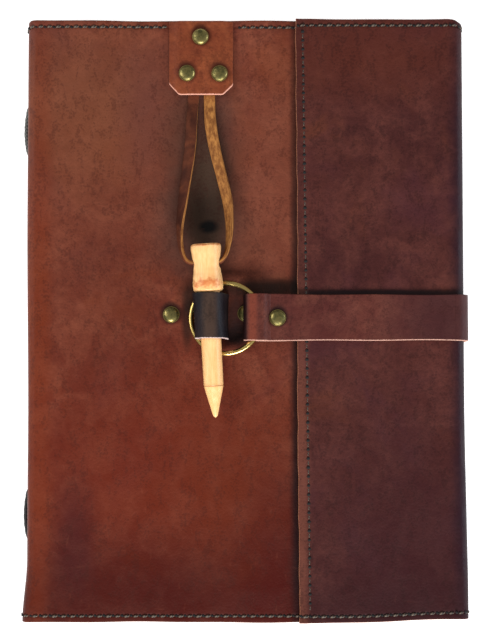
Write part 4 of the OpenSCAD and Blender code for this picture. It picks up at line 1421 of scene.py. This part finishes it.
def make_paper():
    """The sewn sections: bundles of leaves with round folds at the spine and creep at the fore edge."""
    low, high = box_mm("paper_sections")
    sections, leaves = 8, 6
    rng = np.random.default_rng(SEED)
    points, faces, start = [], [], 0
    pitch = (high[2] - low[2] + 0.1) / sections
    for k in range(sections):
        for m in range(leaves):
            thick = pitch / leaves
            z = low[2] + k * pitch + m * thick
            fold = abs(m + 0.5 - leaves / 2) / (leaves / 2)
            x0 = low[0] + 0.75 * fold**2
            x1 = high[0] - 0.7 * fold - rng.uniform(0, 0.25)
            y0, y1 = low[1] + rng.uniform(0, 0.3), high[1] - rng.uniform(0, 0.3)
            face = thick * 0.94
            profile = np.array([(x0 + 0.12, z), (x1 - 0.04, z), (x1, z + face * 0.3), (x1, z + face * 0.7),
                                (x1 - 0.04, z + face), (x0 + 0.12, z + face), (x0, z + face * 0.7),
                                (x0, z + face * 0.3)])
            ys = np.linspace(y0, y1, 14)
            sway = 0.12 * np.sin(ys / 40 + k + m)
            ring = np.stack([profile[None, :, 0] + sway[:, None], np.repeat(ys[:, None], 8, 1),
                             np.repeat(profile[None, :, 1], 14, 0)], -1)
            points.append(ring.reshape(-1, 3))
            faces += grid_faces(14, 8, start, wrap=True, flip=True).tolist()
            faces += [[start + i for i in range(8)], [start + 13 * 8 + i for i in range(7, -1, -1)]]
            start += 14 * 8
    block = new_object("paper_leaves", np.concatenate(points), faces, material("paper"), sharp=30)
    place_piece(block, "back_cover", nodes=["paper_sections"])


# ------------------------------------------------------------------- stage


def area_light(name, place, aim, size, power, colour=(1, 1, 1)):
    """A rectangular light at a place, turned to face its aim."""
    data = bpy.data.lights.new(name, "AREA")
    data.shape, data.size, data.size_y = "RECTANGLE", size[0], size[1]
    data.energy, data.color = power, colour
    light = bpy.data.objects.new(name, data)
    light.location = place
    light.rotation_euler = (Vector(aim) - Vector(place)).to_track_quat("-Z", "Y").to_euler()
    bpy.context.scene.collection.objects.link(light)


def make_stage(look):
    """The floor, the lights and the camera, which looks almost straight down from a little towards the
    tail."""
    rows, columns, reach = 9, 9, 1.5
    x, y = np.meshgrid(np.linspace(-reach, reach, rows), np.linspace(-reach, reach, columns), indexing="ij")
    points = np.stack([x, y, np.zeros(x.shape)], -1).reshape(-1, 3) / MM
    finish, tree, shader, place = begin("floor")
    tone = noise(tree, place, 3.0, 3)
    tree.links.new(mix(tree, tone, (0.93, 0.93, 0.93), (0.96, 0.96, 0.96)), shader.inputs["Base Color"])
    shader.inputs["Emission Color"].default_value = (1, 1, 1, 1)
    shader.inputs["Emission Strength"].default_value = 0.5
    shader.inputs["Roughness"].default_value = 0.9
    floor = new_object("floor", points, grid_faces(rows, columns, flip=True), finish)
    world = bpy.data.worlds.new("studio")
    world.use_nodes = True
    back = world.node_tree.nodes["Background"]
    back.inputs["Color"].default_value = (1, 1, 1, 1)
    back.inputs["Strength"].default_value = look.ambient
    bpy.context.scene.view_settings.view_transform = "Standard"
    bpy.context.scene.world = world
    area_light("key", (0.1, -2.0, 1.25), (0, 0, 0.02), (1.5, 0.7), look.key_power)
    area_light("fill", (-1.2, 0.3, 0.9), (0, 0, 0.02), (1.0, 0.8), look.key_power * 0.12)
    area_light("fore_edge_glow", (1.3, 0.1, 0.4), (0.1, 0, 0.02), (0.8, 0.4), look.key_power * 0.1,
               (0.8, 0.88, 1))
    aim = Vector((0.00014, -0.0011, FRONT_Z * MM))
    tilt = np.radians(look.camera_tilt)
    data = bpy.data.cameras.new("camera")
    data.sensor_fit, data.sensor_height = "VERTICAL", 24.0
    data.lens = look.camera_scale * look.camera_distance / MM * 24.0 / 644
    data.clip_end = 20
    camera = bpy.data.objects.new("camera", data)
    camera.location = aim + Vector((0, -np.sin(tilt), np.cos(tilt))) * look.camera_distance
    camera.rotation_euler = (tilt, 0, 0)
    bpy.context.scene.collection.objects.link(camera)
    bpy.context.scene.camera = camera


# ------------------------------------------------------------------ add-on


class COVER_PG_look(bpy.types.PropertyGroup):
    """Sizes and colours of the cover's looks"""

    stitch_pitch: FloatProperty(name="Stitch Pitch", description="Distance between stitches, in millimetres",
                                default=4.85, min=3, max=8)
    thread_thickness: FloatProperty(name="Thread", description="Thickness of the seam thread, in millimetres",
                                    default=1.25, min=0.5, max=2)
    thong_width: FloatProperty(name="Thong Width", description="Width of the thong, in millimetres",
                               default=6.2, min=4, max=7)
    cover_light: FloatVectorProperty(name="Light Brown", description="Worn tone of the cover",
                                     subtype="COLOR",
                                     default=srgb(128, 68, 48))
    cover_middle: FloatVectorProperty(name="Middle Brown", description="Main tone of the cover",
                                      subtype="COLOR",
                                      default=srgb(110, 52, 36))
    cover_deep: FloatVectorProperty(name="Deep Brown", description="Dark tone of the cover", subtype="COLOR",
                                    default=srgb(90, 38, 28))
    key_power: FloatProperty(name="Key Light", description="Power of the main light", default=84,
                             unit="POWER")
    ambient: FloatProperty(name="Ambient", description="Strength of the even light from all round",
                           default=0.35)
    camera_distance: FloatProperty(name="Camera Distance", description="From the front cover to the camera",
                                   default=0.9, unit="LENGTH")
    camera_tilt: FloatProperty(name="Camera Tilt",
                               description="Degrees off straight down, from the tail side",
                               default=3.2)
    camera_scale: FloatProperty(name="Camera Scale",
                                description="Picture height units per millimetre of cover",
                                default=1.84)


class CoverStep:
    """What every building step shares"""

    bl_options = {"REGISTER", "UNDO"}

    def execute(self, context):
        self.build(context.scene.cover_look)
        return {"FINISHED"}


class COVER_OT_stage(CoverStep, bpy.types.Operator):
    """Add the floor, the lights and the camera"""

    bl_idname = "cover.stage"
    bl_label = "Stage"

    def build(self, look):
        make_stage(look)


class COVER_OT_thong(CoverStep, bpy.types.Operator):
    """Lay the thong from the tab through the peg and back"""

    bl_idname = "cover.thong"
    bl_label = "Thong"

    def build(self, look):
        make_thong(look)


class COVER_OT_shell(CoverStep, bpy.types.Operator):
    """Cut the leather and its lining, folded round the book"""

    bl_idname = "cover.shell"
    bl_label = "Leather and Lining"

    def build(self, look):
        make_shell()


class COVER_OT_stitching(CoverStep, bpy.types.Operator):
    """Sew the seams"""

    bl_idname = "cover.stitching"
    bl_label = "Stitching"

    def build(self, look):
        make_stitching(look)


class COVER_OT_tab(CoverStep, bpy.types.Operator):
    """Set the tab at the head"""

    bl_idname = "cover.tab"
    bl_label = "Tab"

    def build(self, look):
        make_tab()


class COVER_OT_rivets(CoverStep, bpy.types.Operator):
    """Set every cap rivet"""

    bl_idname = "cover.rivets"
    bl_label = "Rivets"

    def build(self, look):
        make_rivets()


class COVER_OT_keeper(CoverStep, bpy.types.Operator):
    """Bend the keeper loop over the peg"""

    bl_idname = "cover.keeper"
    bl_label = "Keeper"

    def build(self, look):
        make_keeper()


class COVER_OT_peg(CoverStep, bpy.types.Operator):
    """Turn and bore the peg"""

    bl_idname = "cover.peg"
    bl_label = "Peg"

    def build(self, look):
        make_peg()


class COVER_OT_strap(CoverStep, bpy.types.Operator):
    """Lay the strap over the flap and round the ring"""

    bl_idname = "cover.strap"
    bl_label = "Strap"

    def build(self, look):
        make_strap()


class COVER_OT_ring(CoverStep, bpy.types.Operator):
    """Form the ring"""

    bl_idname = "cover.ring"
    bl_label = "Ring"

    def build(self, look):
        make_ring()


class COVER_OT_paper(CoverStep, bpy.types.Operator):
    """Stack the sewn sections"""

    bl_idname = "cover.paper"
    bl_label = "Paper"

    def build(self, look):
        make_paper()


class COVER_OT_laces(CoverStep, bpy.types.Operator):
    """Lace the sections to the spine"""

    bl_idname = "cover.laces"
    bl_label = "Spine Laces"

    def build(self, look):
        make_laces()


STEPS = (COVER_OT_stage, COVER_OT_thong, COVER_OT_shell, COVER_OT_stitching, COVER_OT_tab, COVER_OT_rivets,
         COVER_OT_keeper, COVER_OT_peg, COVER_OT_strap, COVER_OT_ring, COVER_OT_paper, COVER_OT_laces)


class COVER_PT_panel(bpy.types.Panel):
    """Lists the cover's sizes and its building steps"""

    bl_label = "Leather Notebook Cover"
    bl_idname = "COVER_PT_panel"
    bl_space_type = "VIEW_3D"
    bl_region_type = "UI"
    bl_category = "Notebook"

    def draw(self, context):
        look = context.scene.cover_look
        for name in COVER_PG_look.__annotations__:
            self.layout.prop(look, name)
        for step in STEPS:
            self.layout.operator(step.bl_idname)


CLASSES = (COVER_PG_look, *STEPS, COVER_PT_panel)


def register():
    """Adds the classes and the scene property that holds the sizes and colours."""
    for cls in CLASSES:
        bpy.utils.register_class(cls)
    bpy.types.Scene.cover_look = PointerProperty(type=COVER_PG_look)


def unregister():
    """Removes the scene property and the classes, last first."""
    del bpy.types.Scene.cover_look
    for cls in reversed(CLASSES):
        bpy.utils.unregister_class(cls)


def main():
    register()
    for step in STEPS:
        group, name = step.bl_idname.split(".")
        getattr(getattr(bpy.ops, group), name)()


if __name__ == "__main__":
    main()
